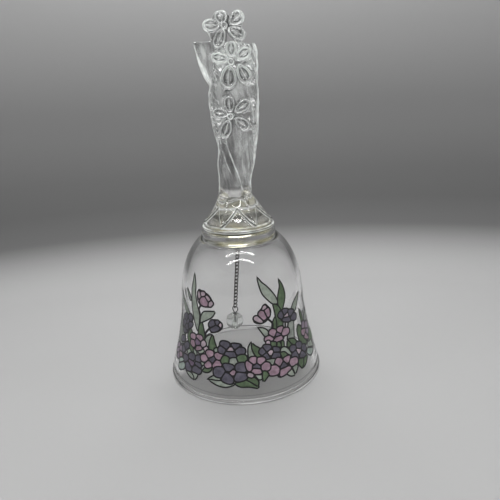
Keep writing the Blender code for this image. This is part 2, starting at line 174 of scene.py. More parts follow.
# The enamel pattern, from the back of the layers to the front. A cell is a rounded patch of a flower: its
# colour, azimuth in degrees from the front, height, long half and short half in millimetres, and tilt in
# degrees. A leaf is an outline of (azimuth, height) points, and a stem is a line of them with its width.
PATTERN = (
    ("leaf", "sage", (-72.4, 46), (-66.7, 42.8), (-59, 39.4), (-54.9, 36.5), (-59.7, 35.6),
     (-65.1, 39.7)),
    ("leaf", "sage", (-59.1, 48.2), (-55, 46.4), (-51.9, 44.4), (-53.4, 43.9), (-56, 45.7)),
    ("leaf", "sage", (-50.5, 55.8), (-47.1, 51.6), (-46.5, 47.5), (-44.4, 43.3), (-41.3, 38),
     (-41.7, 34.2), (-42.8, 30.7), (-44.8, 32), (-48.2, 36.5), (-50, 41.6), (-50.6, 46.7), (-51, 49.9),
     (-50.3, 53.6)),
    ("leaf", "grey", (-73.3, 34), (-69.7, 27.7), (-62.9, 26.3), (-61.1, 21.2), (-71.3, 18.7),
     (-77.1, 24.4)),
    ("leaf", "green", (-53.1, 29.8), (-50.3, 28.1), (-49.2, 24.9), (-47.4, 20), (-50.8, 19),
     (-54.2, 23.1), (-56.5, 26)),
    ("cells", ("plum", -61.7, 34.1, 2.35, 1.13, 31), ("plum", -54.5, 34.8, 1.96, 1.25, 41),
     ("plum", -63.9, 30.8, 2.33, 1.2, 27), ("plum", -57.4, 32.8, 2.03, 0.85, 38),
     ("plum", -54.3, 31.7, 2.16, 1.13, 42), ("plum", -60.8, 29.3, 2.57, 1.12, 30),
     ("plum", -61.8, 27.5, 2.27, 0.88, 25), ("plum", -64.8, 22.7, 2.44, 1.02, 26),
     ("plum", -57.6, 20.6, 2.48, 1.16, 38), ("plum", -61.7, 18.2, 2.39, 1.11, 32),
     ("mauve", -74.8, 16.5, 3.44, 1.03, 24), ("mauve", -73.3, 14.8, 2.81, 1.02, 23),
     ("mauve", -67.1, 16.9, 2.18, 1.02, 24), ("pink", -66.3, 14.6, 2.31, 1.01, 23),
     ("mauve", -70.2, 12.8, 2.12, 1.09, 20)),
    ("leaf", "sage", (-55, 19), (-51.8, 20.2), (-49.9, 18.9), (-52.7, 17.5)),
    ("leaf", "sage", (-46.9, 21.2), (-43.9, 20.6), (-43, 19.4), (-45.3, 18.7)),
    ("stem", 0.67, (-39, 43.3), (-41.4, 41.2), (-40.4, 38.6), (-41.1, 35.3), (-41.6, 32)),
    ("leaf", "mauve", (-41.9, 49.8), (-35.6, 49.1), (-30.5, 47.9), (-26.8, 45.2), (-28.8, 43.7),
     (-34.8, 43.2), (-39.7, 43.5), (-42.6, 45.6), (-42.8, 47.9)),
    ("leaf", "green", (-38.4, 35), (-37, 32.3), (-35.7, 29.5), (-35, 27.2), (-38.2, 27.8), (-41.7, 28.7),
     (-41.9, 31.2), (-40.7, 33.7)),
    ("leaf", "sage", (-39.6, 35.1), (-39, 37.7), (-36, 40.1), (-31.1, 40.8), (-25.1, 41.2),
     (-27.6, 39.1), (-31.1, 37.7), (-35.3, 36.4)),
    ("stem", 0.67, (-30.5, 33.1), (-34.2, 30.7), (-34.8, 28.6), (-35, 27)),
    ("leaf", "plum", (-28.8, 36.3), (-25, 37.3), (-20.8, 36.8), (-19, 35.2), (-20.3, 33.6),
     (-24.5, 32.3), (-28.8, 32.7), (-30.8, 34.4)),
    ("cells", ("pink", -35.5, 45.3, 2.11, 1.74, -7), ("pale", -40.8, 47.6, 1.51, 0.7, -78),
     ("pale", -37.3, 48.3, 1.14, 0.84, 22), ("pale", -32, 46.8, 1.22, 0.69, -38),
     ("pale", -29.1, 44.8, 1.01, 0.79, 47), ("plum", -27.8, 35.5, 1.49, 0.96, 52),
     ("plum", -25.4, 33.5, 2.08, 0.97, 23), ("plum", -23.1, 36.3, 0.81, 0.66, 34),
     ("pale", -20.6, 35.4, 0.69, 0.47, 83)),
    ("leaf", "sage", (-34.2, 27.7), (-31.8, 29.4), (-27.4, 30.3), (-29.1, 28.4), (-30.4, 25.9),
     (-31.8, 24.1), (-34.4, 25.4)),
    ("leaf", "green", (-27.4, 30), (-26, 27.4), (-24.2, 24.6), (-26.2, 23.1), (-28.5, 22.7), (-30.2, 24),
     (-30, 26.5), (-28.8, 28.7)),
    ("cells", ("pale", -33.7, 23.3, 0.89, 0.67, 31), ("sage", -38.4, 21.7, 1.41, 0.58, 26),
     ("sage", -23.6, 23.7, 0.76, 0.54, 18)),
    ("cells", ("pink", -48.8, 26.8, 1.7, 1.08, 16), ("pink", -41, 27.4, 1.7, 1.05, 10),
     ("pale", -36.7, 25.3, 1.33, 0.97, 33), ("pink", -41.2, 22.7, 2.16, 0.63, 23),
     ("pink", -48.4, 23.8, 1.43, 1.22, -26), ("violet", -42.6, 25.3, 1.77, 1.06, 22)),
    ("cells", ("plum", -56.2, 15, 1.95, 1.23, 6), ("plum", -48.2, 17.3, 2, 1.24, 22),
     ("plum", -40.2, 17.8, 1.87, 1.15, 22), ("plum", -40.1, 15.1, 1.78, 0.86, 11),
     ("plum", -51.4, 12, 2.42, 1.42, -8), ("plum", -41.2, 12.4, 2.48, 1.4, 16),
     ("violet", -48.3, 14.6, 1.7, 0.93, -2), ("sage", -36.2, 16.6, 0.84, 0.57, 22)),
    ("cells", ("mint", -60.8, 10.2, 3, 1.34, 23), ("mint", -62.7, 12.2, 2.19, 0.77, 23)),
    ("leaf", "sage", (-51.8, 9.5), (-46.8, 9.9), (-43.8, 8.7), (-42.6, 8), (-46.7, 8.3)),
    ("leaf", "sage", (-45.3, 10.5), (-40, 10.5), (-40.8, 9.1), (-42.2, 8.1), (-43.1, 9.3)),
    ("leaf", "green", (-35, 13.1), (-32.5, 14.8), (-27.5, 15.1), (-29, 13.9), (-31.6, 13.2)),
    ("cells", ("pink", -29.6, 21.5, 1.75, 1.29, 7), ("pink", -21.9, 21.2, 1.89, 1.21, 17),
     ("pink", -34.8, 19, 1.62, 1.21, 17), ("pink", -30.5, 16.6, 1.7, 1.04, 24),
     ("pink", -23, 17.5, 2.31, 1.31, 19), ("plum", -27.1, 19.2, 1.67, 0.94, 14)),
    ("leaf", "sage", (-29.3, 10.3), (-24.1, 12.3), (-19.9, 11.5), (-19.1, 10.9), (-24.4, 10.5)),
    ("leaf", "sage", (-28.4, 10), (-22.4, 10.1), (-18.2, 10.3), (-13.6, 9.7), (-9.6, 9.5), (-13.1, 8.6),
     (-17.5, 8.2), (-22.7, 8.7)),
    ("leaf", "green", (-8.5, 9.7), (-4.3, 10.5), (-0.3, 11.3), (3.9, 9.7), (7, 8.2), (7, 7.5),
     (1.5, 8.4), (-4.8, 8.6)),
    ("leaf", "green", (-0.5, 11.6), (3.8, 12.2), (7.5, 10.3), (7.1, 8.4), (3.5, 10.1)),
    ("cells", ("plum", -16.6, 26.6, 1.87, 1.22, -6), ("plum", -7.7, 26.2, 2.04, 0.74, -5),
     ("plum", -4.6, 24, 2.04, 1.19, -1), ("plum", -12.1, 22.4, 2.85, 1.1, -2),
     ("plum", -19, 24.2, 1.42, 1.19, -4), ("pale", -12.2, 24.6, 1.73, 0.64, 3)),
    ("cells", ("green", -16.2, 19.6, 1.62, 1.45, 63), ("grey", -9.8, 19.1, 1.76, 1.43, 7),
     ("green", -3.3, 20.5, 1.91, 1.39, 9)),
    ("cells", ("plum", -14, 16.6, 2.41, 1.2, -6), ("plum", -3.8, 16.7, 2.36, 1.74, 7),
     ("plum", -20.6, 14.2, 2.63, 1.87, 5), ("plum", -14.6, 11.9, 2.73, 1.71, -16),
     ("plum", -4.8, 12.8, 2.76, 1.58, 13), ("pink", -10.8, 14.4, 1.95, 0.73, 5)),
    ("leaf", "sage", (14.9, 55.5), (17.6, 53.5), (22.7, 51), (28.6, 46.7), (31.2, 43.2), (26.9, 43.4),
     (21.6, 46.2), (17.8, 48.9), (15.8, 52.4)),
    ("leaf", "green", (36, 52.7), (38.2, 50.4), (39.6, 47.3), (39.4, 44.7), (36.9, 41.3), (34.7, 39.3),
     (32.3, 41.5), (31.9, 44.2), (33.5, 47.4), (36, 50.2)),
    ("leaf", "green", (26.7, 42.9), (30.3, 42), (33.3, 39.2), (34.6, 34.7), (33.8, 31), (27.6, 31.2),
     (27.9, 34.1), (28.2, 38.3)),
    ("leaf", "green", (27.4, 36.8), (27.9, 34.1), (27.2, 31.2), (23.9, 31.7), (24.8, 34.3)),
    ("stem", 0.67, (20.7, 36.9), (24.6, 34.3), (23.6, 31.7)),
    ("leaf", "sage", (60.8, 43), (56.7, 39.9), (51.9, 36.1), (46.8, 37.7), (51.7, 40.4)),
    ("leaf", "grey", (41.5, 33.2), (47.8, 32.2), (44.4, 23.7), (37.6, 24.7)),
    ("stem", 0.62, (37.6, 33.2), (36.7, 30.2)),
    ("stem", 0.58, (41.4, 32.9), (39.3, 30)),
    ("leaf", "mauve", (18.9, 43.8), (22.5, 41.4), (22.9, 39.3), (20.8, 37.4), (17.5, 36.2), (13.4, 35.8),
     (9.1, 36.8), (8.9, 38.5), (12.5, 39.5), (13.7, 41), (16.2, 42.1)),
    ("cells", ("pink", 16.3, 39.2, 2, 1.43, -69), ("pale", 18, 42.2, 0.92, 0.53, 64),
     ("pink", 20.2, 40, 1.96, 0.95, -85), ("pale", 12.5, 37.5, 2.06, 0.83, -31)),
    ("cells", ("plum", 38.3, 37.8, 1.79, 0.97, -14), ("plum", 45.3, 36.2, 2.15, 1.04, -22),
     ("plum", 34, 37, 1.39, 1.17, -41), ("plum", 48.4, 33.6, 1.97, 1.2, -20),
     ("plum", 39.4, 34.2, 2.86, 0.86, -20), ("pale", 39.9, 35.7, 1.45, 0.76, -22)),
    ("leaf", "green", (59.4, 34.6), (62.8, 31.7), (63.5, 27.1), (60.7, 28.1), (59.5, 31.9)),
    ("leaf", "grey", (79.9, 30.8), (75.7, 28), (74.8, 24.7), (66.9, 27.8), (70.6, 29.8)),
    ("leaf", "green", (53.3, 28.3), (57.5, 26.3), (57.7, 22.7), (61.6, 17.9), (59.4, 17.2), (53, 19.9),
     (50.9, 23.5), (50.9, 26.4)),
    ("leaf", "green", (87.9, 17.9), (86.2, 14.9), (72.2, 15.7), (66.8, 17), (64, 19.9), (71.5, 20.8)),
    ("cells", ("mauve", 62.6, 26, 1.63, 1.5, -27), ("mauve", 69.4, 24.4, 2.44, 1.43, -3),
     ("pink", 61.2, 23.3, 2.46, 1.36, -18), ("mauve", 67.4, 21.9, 2.51, 1.24, -8),
     ("pink", 63.8, 20.5, 2.91, 1.15, -30)),
    ("leaf", "sage", (63.2, 16.8), (72.4, 15.8), (73.4, 12.5), (62.4, 15.3)),
    ("leaf", "sage", (12.2, 33.6), (16.4, 32.8), (19.5, 31), (18.3, 29.2), (17.3, 29), (14.6, 31.5)),
    ("cells", ("pink", 23.9, 30.1, 1.52, 1.27, -24), ("pink", 31.2, 30.4, 1.55, 1.08, -2),
     ("pink", 36, 28.7, 2.19, 1.24, -4), ("pink", 20.4, 27.9, 1.96, 0.84, -1),
     ("pink", 28.6, 26.8, 2.4, 0.87, 1), ("violet", 28.6, 28.6, 1.56, 0.62, -3)),
    ("cells", ("pale", 18.8, 25.9, 0.83, 0.57, -89)),
    ("leaf", "green", (21.6, 26.1), (25.5, 25.4), (25.2, 23.9), (21.2, 24.3)),
    ("leaf", "green", (27.2, 25.1), (28.9, 24.8), (30, 22.9), (26.5, 23.5)),
    ("leaf", "green", (31.1, 25), (32.8, 24.7), (32.3, 22.5), (30.8, 22.8)),
    ("leaf", "green", (37.2, 24), (41.4, 21.5), (37.7, 21.4), (36.1, 21.8)),
    ("leaf", "green", (38.4, 24.5), (43.7, 23.7), (46.9, 21.7), (42.8, 21.4)),
    ("leaf", "sage", (4.6, 27.1), (5.4, 24.5), (7.8, 21), (2.5, 20.9), (2.3, 23.3), (2.9, 25.5)),
    ("leaf", "green", (5.6, 26.8), (8.1, 25.4), (10.9, 24.2), (10.6, 22.1), (11.9, 20.8), (9, 20.9),
     (6.8, 22.7), (5.6, 24.8)),
    ("cells", ("plum", 17.4, 24, 1.69, 0.99, -16), ("plum", 24.9, 22.2, 1.64, 0.75, -24),
     ("plum", 13.6, 22.7, 1.25, 1.05, -38), ("plum", 15.8, 20.5, 1.83, 0.84, -20),
     ("plum", 23.9, 19.7, 1.97, 1, -10), ("pale", 19.7, 21.6, 1.38, 0.76, -16)),
    ("leaf", "sage", (28.9, 20.8), (30.3, 21.9), (33.3, 21.8), (36.5, 20), (39, 17), (35.9, 18.4),
     (32.7, 20.1)),
    ("leaf", "green", (28.7, 20.1), (31.7, 19.8), (34, 18.5), (30, 17.3)),
    ("leaf", "sage", (15.9, 18.6), (20, 18.5), (22.8, 18.2), (20.4, 16.1), (18.1, 17.2)),
    ("cells", ("plum", 41.6, 19.6, 1.79, 1.03, -25), ("plum", 49.2, 19.5, 2.05, 1.08, -25),
     ("plum", 55, 16.7, 1.79, 1.17, -22), ("plum", 51, 14.5, 2.31, 1.06, -17),
     ("plum", 42.5, 16.3, 1.88, 1.34, -31), ("pale", 47.2, 17.1, 1.91, 0.8, -23)),
    ("leaf", "mint", (60.2, 14.8), (70.7, 11.9), (67.1, 11), (61.6, 11.3), (57.9, 13.5)),
    ("leaf", "green", (45.9, 13.5), (50.8, 12.5), (49.3, 10.3), (46.8, 9.2), (44.2, 11.6)),
    ("leaf", "green", (52, 12.3), (56.6, 12.3), (52.2, 10), (47.9, 9.2), (50.2, 10.3)),
    ("cells", ("pink", 25.9, 16.5, 1.63, 1.29, -28), ("pink", 33.4, 16.2, 1.9, 1.05, 2),
     ("pink", 38.9, 14, 2.62, 1.38, -7), ("pink", 20.4, 13.5, 2.61, 1.78, -7),
     ("pink", 29.5, 11.8, 3.54, 1.18, 13), ("plum", 29.4, 14.3, 1.91, 0.91, -1)),
    ("leaf", "sage", (37.4, 11.6), (41.1, 11.8), (42, 11), (38.6, 8.8), (38.2, 9.7)),
    ("leaf", "sage", (31.5, 10.1), (35.8, 11), (37.3, 8.3), (33.8, 8.8)),
    ("cells", ("pink", 5.5, 19.5, 1.47, 1.21, -1), ("pink", 11.3, 18.9, 1.73, 1.16, -3),
     ("pink", 14.6, 16, 1.86, 1.44, -9), ("pink", 7.1, 14.7, 2.39, 0.9, -8),
     ("pink", 2.2, 17.3, 2.03, 1.15, -78), ("plum", 7.8, 16.7, 1.67, 0.74, -5)),
    ("cells", ("pale", 2.6, 13.2, 0.98, 0.55, -19)),
    ("leaf", "sage", (6.5, 12.8), (10.8, 12.5), (10.8, 11.2), (8.7, 11.1)),
    ("leaf", "green", (12.5, 14), (14.6, 13.6), (15.9, 12.2), (11.9, 9.9), (11.7, 11.9)),
)


def bezier(start, pull_start, pull_end, end, count):
    """Points along a cubic curve in the plane of a profile, without its last one."""
    found = []
    for step in range(count):
        t = step / count
        s = 1 - t
        weights = (s**3, 3 * s * s * t, 3 * s * t * t, t**3)
        corners = (start, pull_start, pull_end, end)
        found.append(tuple(sum(w * c[k] for w, c in zip(weights, corners)) for k in (0, 1)))
    return found


def bell_outside(fine):
    """The bell's outer side from the edge of the crown down to the lip."""
    foot = (RIM_RADIUS, LIP_ROUND)
    waist = (WAIST_RADIUS, WAIST_HEIGHT)
    edge = (CROWN_RADIUS, CROWN_HEIGHT - CROWN_EDGE)
    rise = edge[1] - waist[1]
    flare = foot[0] - waist[0]
    drop = waist[1] - foot[1]
    shoulder = bezier(
        edge,
        (waist[0] - SHOULDER_INSET, edge[1] - SHOULDER_PULLS[0] * rise),
        (waist[0] - WAIST_INSET, waist[1] + SHOULDER_PULLS[1] * rise),
        waist,
        fine,
    )
    skirt = bezier(
        waist,
        (waist[0] + FLARE_PULLS[0] * flare, waist[1] - SKIRT_PULLS[0] * drop),
        (foot[0] - FLARE_PULLS[1] * flare, foot[1] + SKIRT_PULLS[1] * drop),
        foot,
        fine,
    )
    return shoulder + skirt + [foot]


def inner_side(outside):
    """The inside of the wall, from the rim up to where the crown closes it."""
    inside = []
    for n in range(len(outside) - 1, 0, -1):
        radius, height = outside[n]
        ahead = outside[n - 1]
        behind = outside[min(n + 1, len(outside) - 1)]
        slope = Vector((ahead[0] - behind[0], ahead[1] - behind[1])).normalized()
        share = min(1.0, height / WAIST_HEIGHT)
        wall = RIM_WALL + (WALL - RIM_WALL) * share
        point = (radius - wall * slope.y, height + wall * slope.x)
        if point[1] < CROWN_UNDERSIDE - WALL / 2:
            inside.append(point)
    return inside


def bell_profile(fine=90):
    """The whole section of the bell with a rounded lip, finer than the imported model's."""
    outside = bell_outside(fine)
    inside = inner_side(outside)
    beaded = []
    for radius, height in outside:
        groove = LIP_GROOVE * math.exp(-(((height - LIP_BEAD) / (0.2 * LIP_BEAD)) ** 2))
        beaded.append((radius - groove, height))
    lip = []
    for n in range(1, 7):
        angle = n / 6 * math.pi / 2
        radius = RIM_RADIUS - LIP_ROUND * (1 - math.cos(angle))
        lip.append((radius, LIP_ROUND * (1 - math.sin(angle))))
    for n in range(0, 6):
        angle = n / 6 * math.pi / 2
        radius = RIM_RADIUS - RIM_WALL + LIP_ROUND * (1 - math.sin(angle))
        lip.append((radius, LIP_ROUND * (1 - math.cos(angle))))
    crown = [(0, CROWN_HEIGHT), (CROWN_RADIUS * 0.5, CROWN_HEIGHT)]
    for n in range(5):
        angle = n / 4 * math.pi / 2
        across = CROWN_RADIUS - CROWN_CHAMFER * (1 - math.sin(angle))
        crown.append((across, CROWN_HEIGHT - CROWN_CHAMFER * (1 - math.cos(angle))))
    last = inside[-1]
    flat = (last[0] - 2 * WALL, CROWN_UNDERSIDE)
    eased = (last[0] - 0.6 * WALL, CROWN_UNDERSIDE - 0.1 * WALL)
    roof = bezier(last, eased, (last[0] - WALL, CROWN_UNDERSIDE), flat, 6)[1:]
    return crown + beaded + lip + inside + roof + [flat, (0, CROWN_UNDERSIDE)]


# Meshes


def placed(name, data):
    """A new object in the scene that holds the given mesh, curve, lamp or camera."""
    thing = bpy.data.objects.new(name, data)
    bpy.context.scene.collection.objects.link(thing)
    return thing


def settled(holder):
    """A mesh of what an object looks like after its modifiers, and the object removed."""
    mesh = bpy.data.meshes.new_from_object(holder.evaluated_get(bpy.context.evaluated_depsgraph_get()))
    bpy.data.objects.remove(holder)
    return mesh


def object_of(name, points, faces, matrix=None):
    """A smooth mesh object in the scene from points and faces, with outward normals."""
    made = bmesh.new()
    rows = [made.verts.new(point) for point in points]
    for face in faces:
        made.faces.new([rows[n] for n in face])
    bmesh.ops.recalc_face_normals(made, faces=made.faces)
    if matrix is not None:
        made.transform(matrix)
    mesh = bpy.data.meshes.new(name)
    made.to_mesh(mesh)
    made.free()
    for face in mesh.polygons:
        face.use_smooth = True
    return placed(name, mesh)


def lathe(name, profile, steps, matrix=None, sharp=35):
    """A closed mesh turned about Z from (radius, height) points."""
    points = []
    rows = []
    for radius, height in profile:
        if radius < 1e-7:
            rows.append([len(points)] * steps)
            points.append((0, 0, height))
            continue
        rows.append(list(range(len(points), len(points) + steps)))
        for n in range(steps):
            angle = math.tau * n / steps
            points.append((radius * math.cos(angle), radius * math.sin(angle), height))
    faces = []
    for low, high in zip(rows, rows[1:]):
        for n in range(steps):
            m = (n + 1) % steps
            ring = [low[n], low[m], high[m], high[n]]
            face = [v for k, v in enumerate(ring) if v != ring[k - 1]]
            if len(face) > 2:
                faces.append(face)
    thing = object_of(name, points, faces, matrix)
    thing.data.set_sharp_from_angle(angle=math.radians(sharp))
    return thing


def tube(name, points, thickness, closed, matrix, sides=4):
    """A wire along a list of points as a mesh, with rounded joints and capped ends."""
    curve = bpy.data.curves.new(name, "CURVE")
    curve.dimensions = "3D"
    curve.bevel_depth = thickness / 2
    curve.bevel_resolution = sides
    curve.use_fill_caps = not closed
    spline = curve.splines.new("POLY")
    spline.points.add(len(points) - 1)
    for slot, point in zip(spline.points, points):
        slot.co = (*point, 1)
    spline.use_cyclic_u = closed
    spline.use_smooth = True
    mesh = settled(placed(name, curve))
    bpy.data.curves.remove(curve)
    mesh.transform(matrix)
    mesh.name = name
    return placed(name, mesh)


def curve_through(a, b, c, d, t):
    """The number at a share t of the way from b to c on a smooth curve through all four."""
    bend = 2 * a - 5 * b + 4 * c - d
    return b + 0.5 * t * (c - a + t * (bend + t * (3 * (b - c) + d - a)))


def smooth_line(points, closed, fine):
    """Points read off a smooth curve through the given ones."""
    count = len(points)
    dense = []
    for n in range(count if closed else count - 1):
        p0 = points[(n - 1) % count] if closed or n else points[0]
        p1 = points[n]
        p2 = points[(n + 1) % count]
        p3 = points[(n + 2) % count] if closed or n + 2 < count else points[-1]
        for step in range(fine):
            dense.append(tuple(curve_through(*four, step / fine) for four in zip(p0, p1, p2, p3)))
    if not closed:
        dense.append(tuple(points[-1]))
    return dense


def smooth_rows(rows, count):
    """Rows of numbers read off a smooth curve through the given rows, evenly by row."""
    found = []
    for step in range(count + 1):
        place_on = step / count * (len(rows) - 1)
        first = min(int(place_on), len(rows) - 2)
        p1 = rows[first]
        p2 = rows[first + 1]
        p0 = rows[max(first - 1, 0)]
        p3 = rows[min(first + 2, len(rows) - 1)]
        found.append([curve_through(*four, place_on - first) for four in zip(p0, p1, p2, p3)])
    return found


# Materials


def linear(rgb):
    """An sRGB colour of 0 to 255 as the linear values that a shader takes."""
    found = []
    for value in rgb:
        share = value / 255
        found.append(share / 12.92 if share <= 0.04045 else ((share + 0.055) / 1.055) ** 2.4)
    return (*found, 1.0)


def grey(value):
    """A neutral linear colour."""
    return (value, value, value, 1.0)


def new_material(name):
    """An empty node material and its output node."""
    made = bpy.data.materials.new(name)
    made.use_nodes = True
    made.node_tree.nodes.clear()
    return made, made.node_tree.nodes.new("ShaderNodeOutputMaterial")


def add_node(made, kind, values=(), **settings):
    """A node in a material, with its settings and the values of its sockets."""
    found = made.node_tree.nodes.new(kind)
    for key, value in settings.items():
        setattr(found, key, value)
    for key, value in dict(values).items():
        found.inputs[key].default_value = value
    return found


def join(made, source, target):
    """Links one socket to another."""
    made.node_tree.links.new(source, target)


def object_place(made):
    """The place on the object that a shader is asked about."""
    return add_node(made, "ShaderNodeTexCoord").outputs["Object"]


def object_height(made):
    """The height on the object that a shader is asked about, in metres."""
    split = add_node(made, "ShaderNodeSeparateXYZ")
    join(made, object_place(made), split.inputs["Vector"])
    return split.outputs["Z"]


def noise(made, scale, detail=3.0, roughness=0.55, stretch=None):
    """Noise in the object's own coordinates, with an optional stretch."""
    source = object_place(made)
    if stretch:
        turn = add_node(made, "ShaderNodeMapping", {"Scale": stretch})
        join(made, source, turn.inputs["Vector"])
        source = turn.outputs["Vector"]
    values = {"Scale": scale, "Detail": detail, "Roughness": roughness}
    found = add_node(made, "ShaderNodeTexNoise", values)
    join(made, source, found.inputs["Vector"])
    return found.outputs["Fac"]


def between(made, source, low, high, start=0.3, stop=0.7):
    """A value spread from one range to another."""
    values = {"From Min": start, "From Max": stop, "To Min": low, "To Max": high}
    found = add_node(made, "ShaderNodeMapRange", values)
    join(made, source, found.inputs["Value"])
    return found.outputs["Result"]


def ramp(made, source, stops):
    """A colour ramp over (place, colour) stops."""
    found = add_node(made, "ShaderNodeValToRGB")
    elements = found.color_ramp.elements
    while len(elements) < len(stops):
        elements.new(0.5)
    for element, (position, colour) in zip(elements, stops):
        element.position = position
        element.color = colour
    join(made, source, found.inputs["Fac"])
    return found.outputs["Color"]


def bump(made, source, strength, distance, under=None):
    """A bump from a height."""
    found = add_node(made, "ShaderNodeBump", {"Strength": strength, "Distance": distance})
    join(made, source, found.inputs["Height"])
    if under:
        join(made, under, found.inputs["Normal"])
    return found.outputs["Normal"]


def figure(made, operation, first, second, clamp=False):
    """Two values put together by a sum, a product or the like."""
    found = add_node(made, "ShaderNodeMath", operation=operation, use_clamp=clamp)
    join(made, first, found.inputs[0])
    join(made, second, found.inputs[1])
    return found.outputs["Value"]


def mixed(made, first, second, share):
    """Two shaders mixed, with the second one's share as a number or as another node's value."""
    found = add_node(made, "ShaderNodeMixShader")
    if isinstance(share, float):
        found.inputs["Fac"].default_value = share
    else:
        join(made, share, found.inputs["Fac"])
    join(made, first, found.inputs[1])
    join(made, second, found.inputs[2])
    return found.outputs["Shader"]


def principled(made, values, colour=None, roughness=None, normal=None):
    """A Principled shader with fixed values and what other nodes lead in."""
    shader = add_node(made, "ShaderNodeBsdfPrincipled", values)
    for name, source in (("Base Color", colour), ("Roughness", roughness), ("Normal", normal)):
        if source:
            join(made, source, shader.inputs[name])
    return shader.outputs["BSDF"]


def lamps_shine_through(made, shader, tint, output):
    """Lets a share of the lamps' light through glass, so that what is behind it is lit."""
    path = add_node(made, "ShaderNodeLightPath")
    clear = add_node(made, "ShaderNodeBsdfTransparent", {"Color": tint})
    mix = mixed(made, shader, clear.outputs["BSDF"], path.outputs["Is Shadow Ray"])
    join(made, mix, output.inputs["Surface"])


def clear_glass():
    """Blown clear glass: faint waves in its surface, a trace of dust in its gloss, a ground lip, and painted
    shade: a grey band in its colour about 3 mm up, at the lip's groove.
    """
    made, output = new_material("bell_glass")
    height = between(made, object_height(made), 0.0, 1.0, 0.0, 4 * MM)
    # Painted shade: this grey darkens the glass in a thin band at the lip's groove, to give a dark line along
    # the rim
    clean, painted_lip_shade = linear((253, 253, 253)), linear((195, 195, 195))
    tint = ramp(made, height, ((0.0, clean), (0.66, clean), (0.74, painted_lip_shade), (0.82, clean)))
    smear = between(made, noise(made, 60, 4), 0.0, 0.035)
    waves = bump(made, noise(made, 28, 1.5, stretch=(1, 1, 0.35)), 0.05, 0.4 * MM)
    shader = principled(made, GLASS, tint, smear, waves)
    grinding = ((0.0, 0.0), (0.1, 0.04), (0.2, 0.75), (0.33, 0.5), (0.44, 0.0))
    ground = ramp(made, height, [(share, grey(value)) for share, value in grinding])
    amount = figure(made, "MULTIPLY", ground, between(made, noise(made, 45, 2), 0.4, 1.0))
    matt = add_node(made, "ShaderNodeBsdfDiffuse", {"Color": linear((245, 245, 245))})
    blend = mixed(made, shader, matt.outputs["BSDF"], amount)
    lamps_shine_through(made, blend, grey(0.6), output)
    return made


def mark(made, name):
    """One of the marks that press_details leaves on the handle."""
    return add_node(made, "ShaderNodeAttribute", attribute_name=name).outputs["Fac"]


def pressed_glass():
    """Pressed glass: polished where the mark clear is high, frosted elsewhere, with painted highlights along
    its rims and edges and painted shade in its hollows.
    """
    made, output = new_material("handle_glass")
    clear = mark(made, "clear")
    fog = between(made, noise(made, 320, 4), -0.02, 0.04)
    gloss = figure(made, "ADD", between(made, clear, 0.1, 0.02, 0.0, 1.0), fog, True)
    grain = between(made, noise(made, 300, 3, stretch=(1, 1, 0.14)), 0.0, 0.75, 0.46, 0.66)
    leafy = figure(made, "MULTIPLY", grain, between(made, clear, 1.0, 0.1, 0.0, 1.0))
    # Painted shade: the glass's colour goes dark where the mesh is marked as shaded (petal hollows, beside
    # the neck's creases, the cores of the foot's blades, the web's channel); the grain adds random dark
    # streaks to the frosted parts
    painted_shade_and_grain = figure(made, "MAXIMUM", mark(made, "painted_shade"), leafy)
    tint = ramp(made, painted_shade_and_grain, ((0.0, linear((252, 252, 252))), (1.0, linear((38, 41, 41)))))
    fine = bump(made, noise(made, 900, 2), 0.1, 0.03 * MM)
    normal = bump(made, noise(made, 110, 2, stretch=(1, 1, 0.4)), 0.25, 0.3 * MM, fine)
    glassy = principled(made, GLASS, tint, gloss, normal)
    milk = {"Color": linear((240, 243, 241))}
    frost = add_node(made, "ShaderNodeBsdfTranslucent", milk)
    matt = add_node(made, "ShaderNodeBsdfDiffuse", milk)
    # Milky white, used both for the frosted veil and for the painted highlights
    frost_and_painted_highlight = mixed(made, frost.outputs["BSDF"], matt.outputs["BSDF"], 0.6)
    streaks = between(made, noise(made, 240, 4, stretch=(1, 1, 0.3)), 0.0, 0.38, 0.5, 0.68)
    veil = figure(made, "MULTIPLY", between(made, clear, 1.0, 0.06, 0.0, 1.0), streaks)
    # Painted highlights: the rim mark mixes milky white into the glass along rims, edges and the foot's
    # rings, broken up by the patches
    painted_rim_highlight = between(made, mark(made, "rim"), 0.0, 0.95, 0.2, 0.85)
    patches = between(made, noise(made, 190, 2), 0.4, 1.15, 0.38, 0.6)
    amount = figure(made, "ADD", veil, figure(made, "MULTIPLY", painted_rim_highlight, patches), True)
    facing = add_node(made, "ShaderNodeLayerWeight", {"Blend": 0.5}).outputs["Facing"]
    edges = figure(made, "ADD", amount, between(made, facing, 0.0, 0.3, 0.6, 1.0), True)
    lamps_shine_through(made, mixed(made, glassy, frost_and_painted_highlight, edges), grey(0.7), output)
    return made


def bead_glass():
    """The bead's glass: slightly grey, with tiny scratches from its swinging."""
    made, output = new_material("bead_clear_glass")
    scratches = between(made, noise(made, 900, 3, stretch=(1, 1, 0.15)), 0.01, 0.07)
    dents = bump(made, noise(made, 260, 2), 0.15, 0.2 * MM)
    values = {"Base Color": linear((238, 241, 238)), **GLASS}
    shader = principled(made, values, roughness=scratches, normal=dents)
    lamps_shine_through(made, shader, grey(0.85), output)
    return made


def adhesive():
    """Cured clear adhesive: a faint yellow, with small bubbles and uneven gloss."""
    made, output = new_material("cured_adhesive")
    cloud = noise(made, 75, 3)
    tint = ramp(made, cloud, ((0.44, linear((253, 253, 250))), (0.66, linear((250, 242, 190)))))
    cells = add_node(made, "ShaderNodeTexVoronoi", {"Scale": 700.0})
    join(made, object_place(made), cells.inputs["Vector"])
    bubbles = between(made, cells.outputs["Distance"], 0.0, 1.0, 0.05, 0.3)
    normal = bump(made, bubbles, 0.15, 0.05 * MM)
    shader = principled(made, {**GLASS, "IOR": 1.48}, tint, between(made, cloud, 0.01, 0.08), normal)
    lamps_shine_through(made, shader, linear((240, 238, 222)), output)
    return made


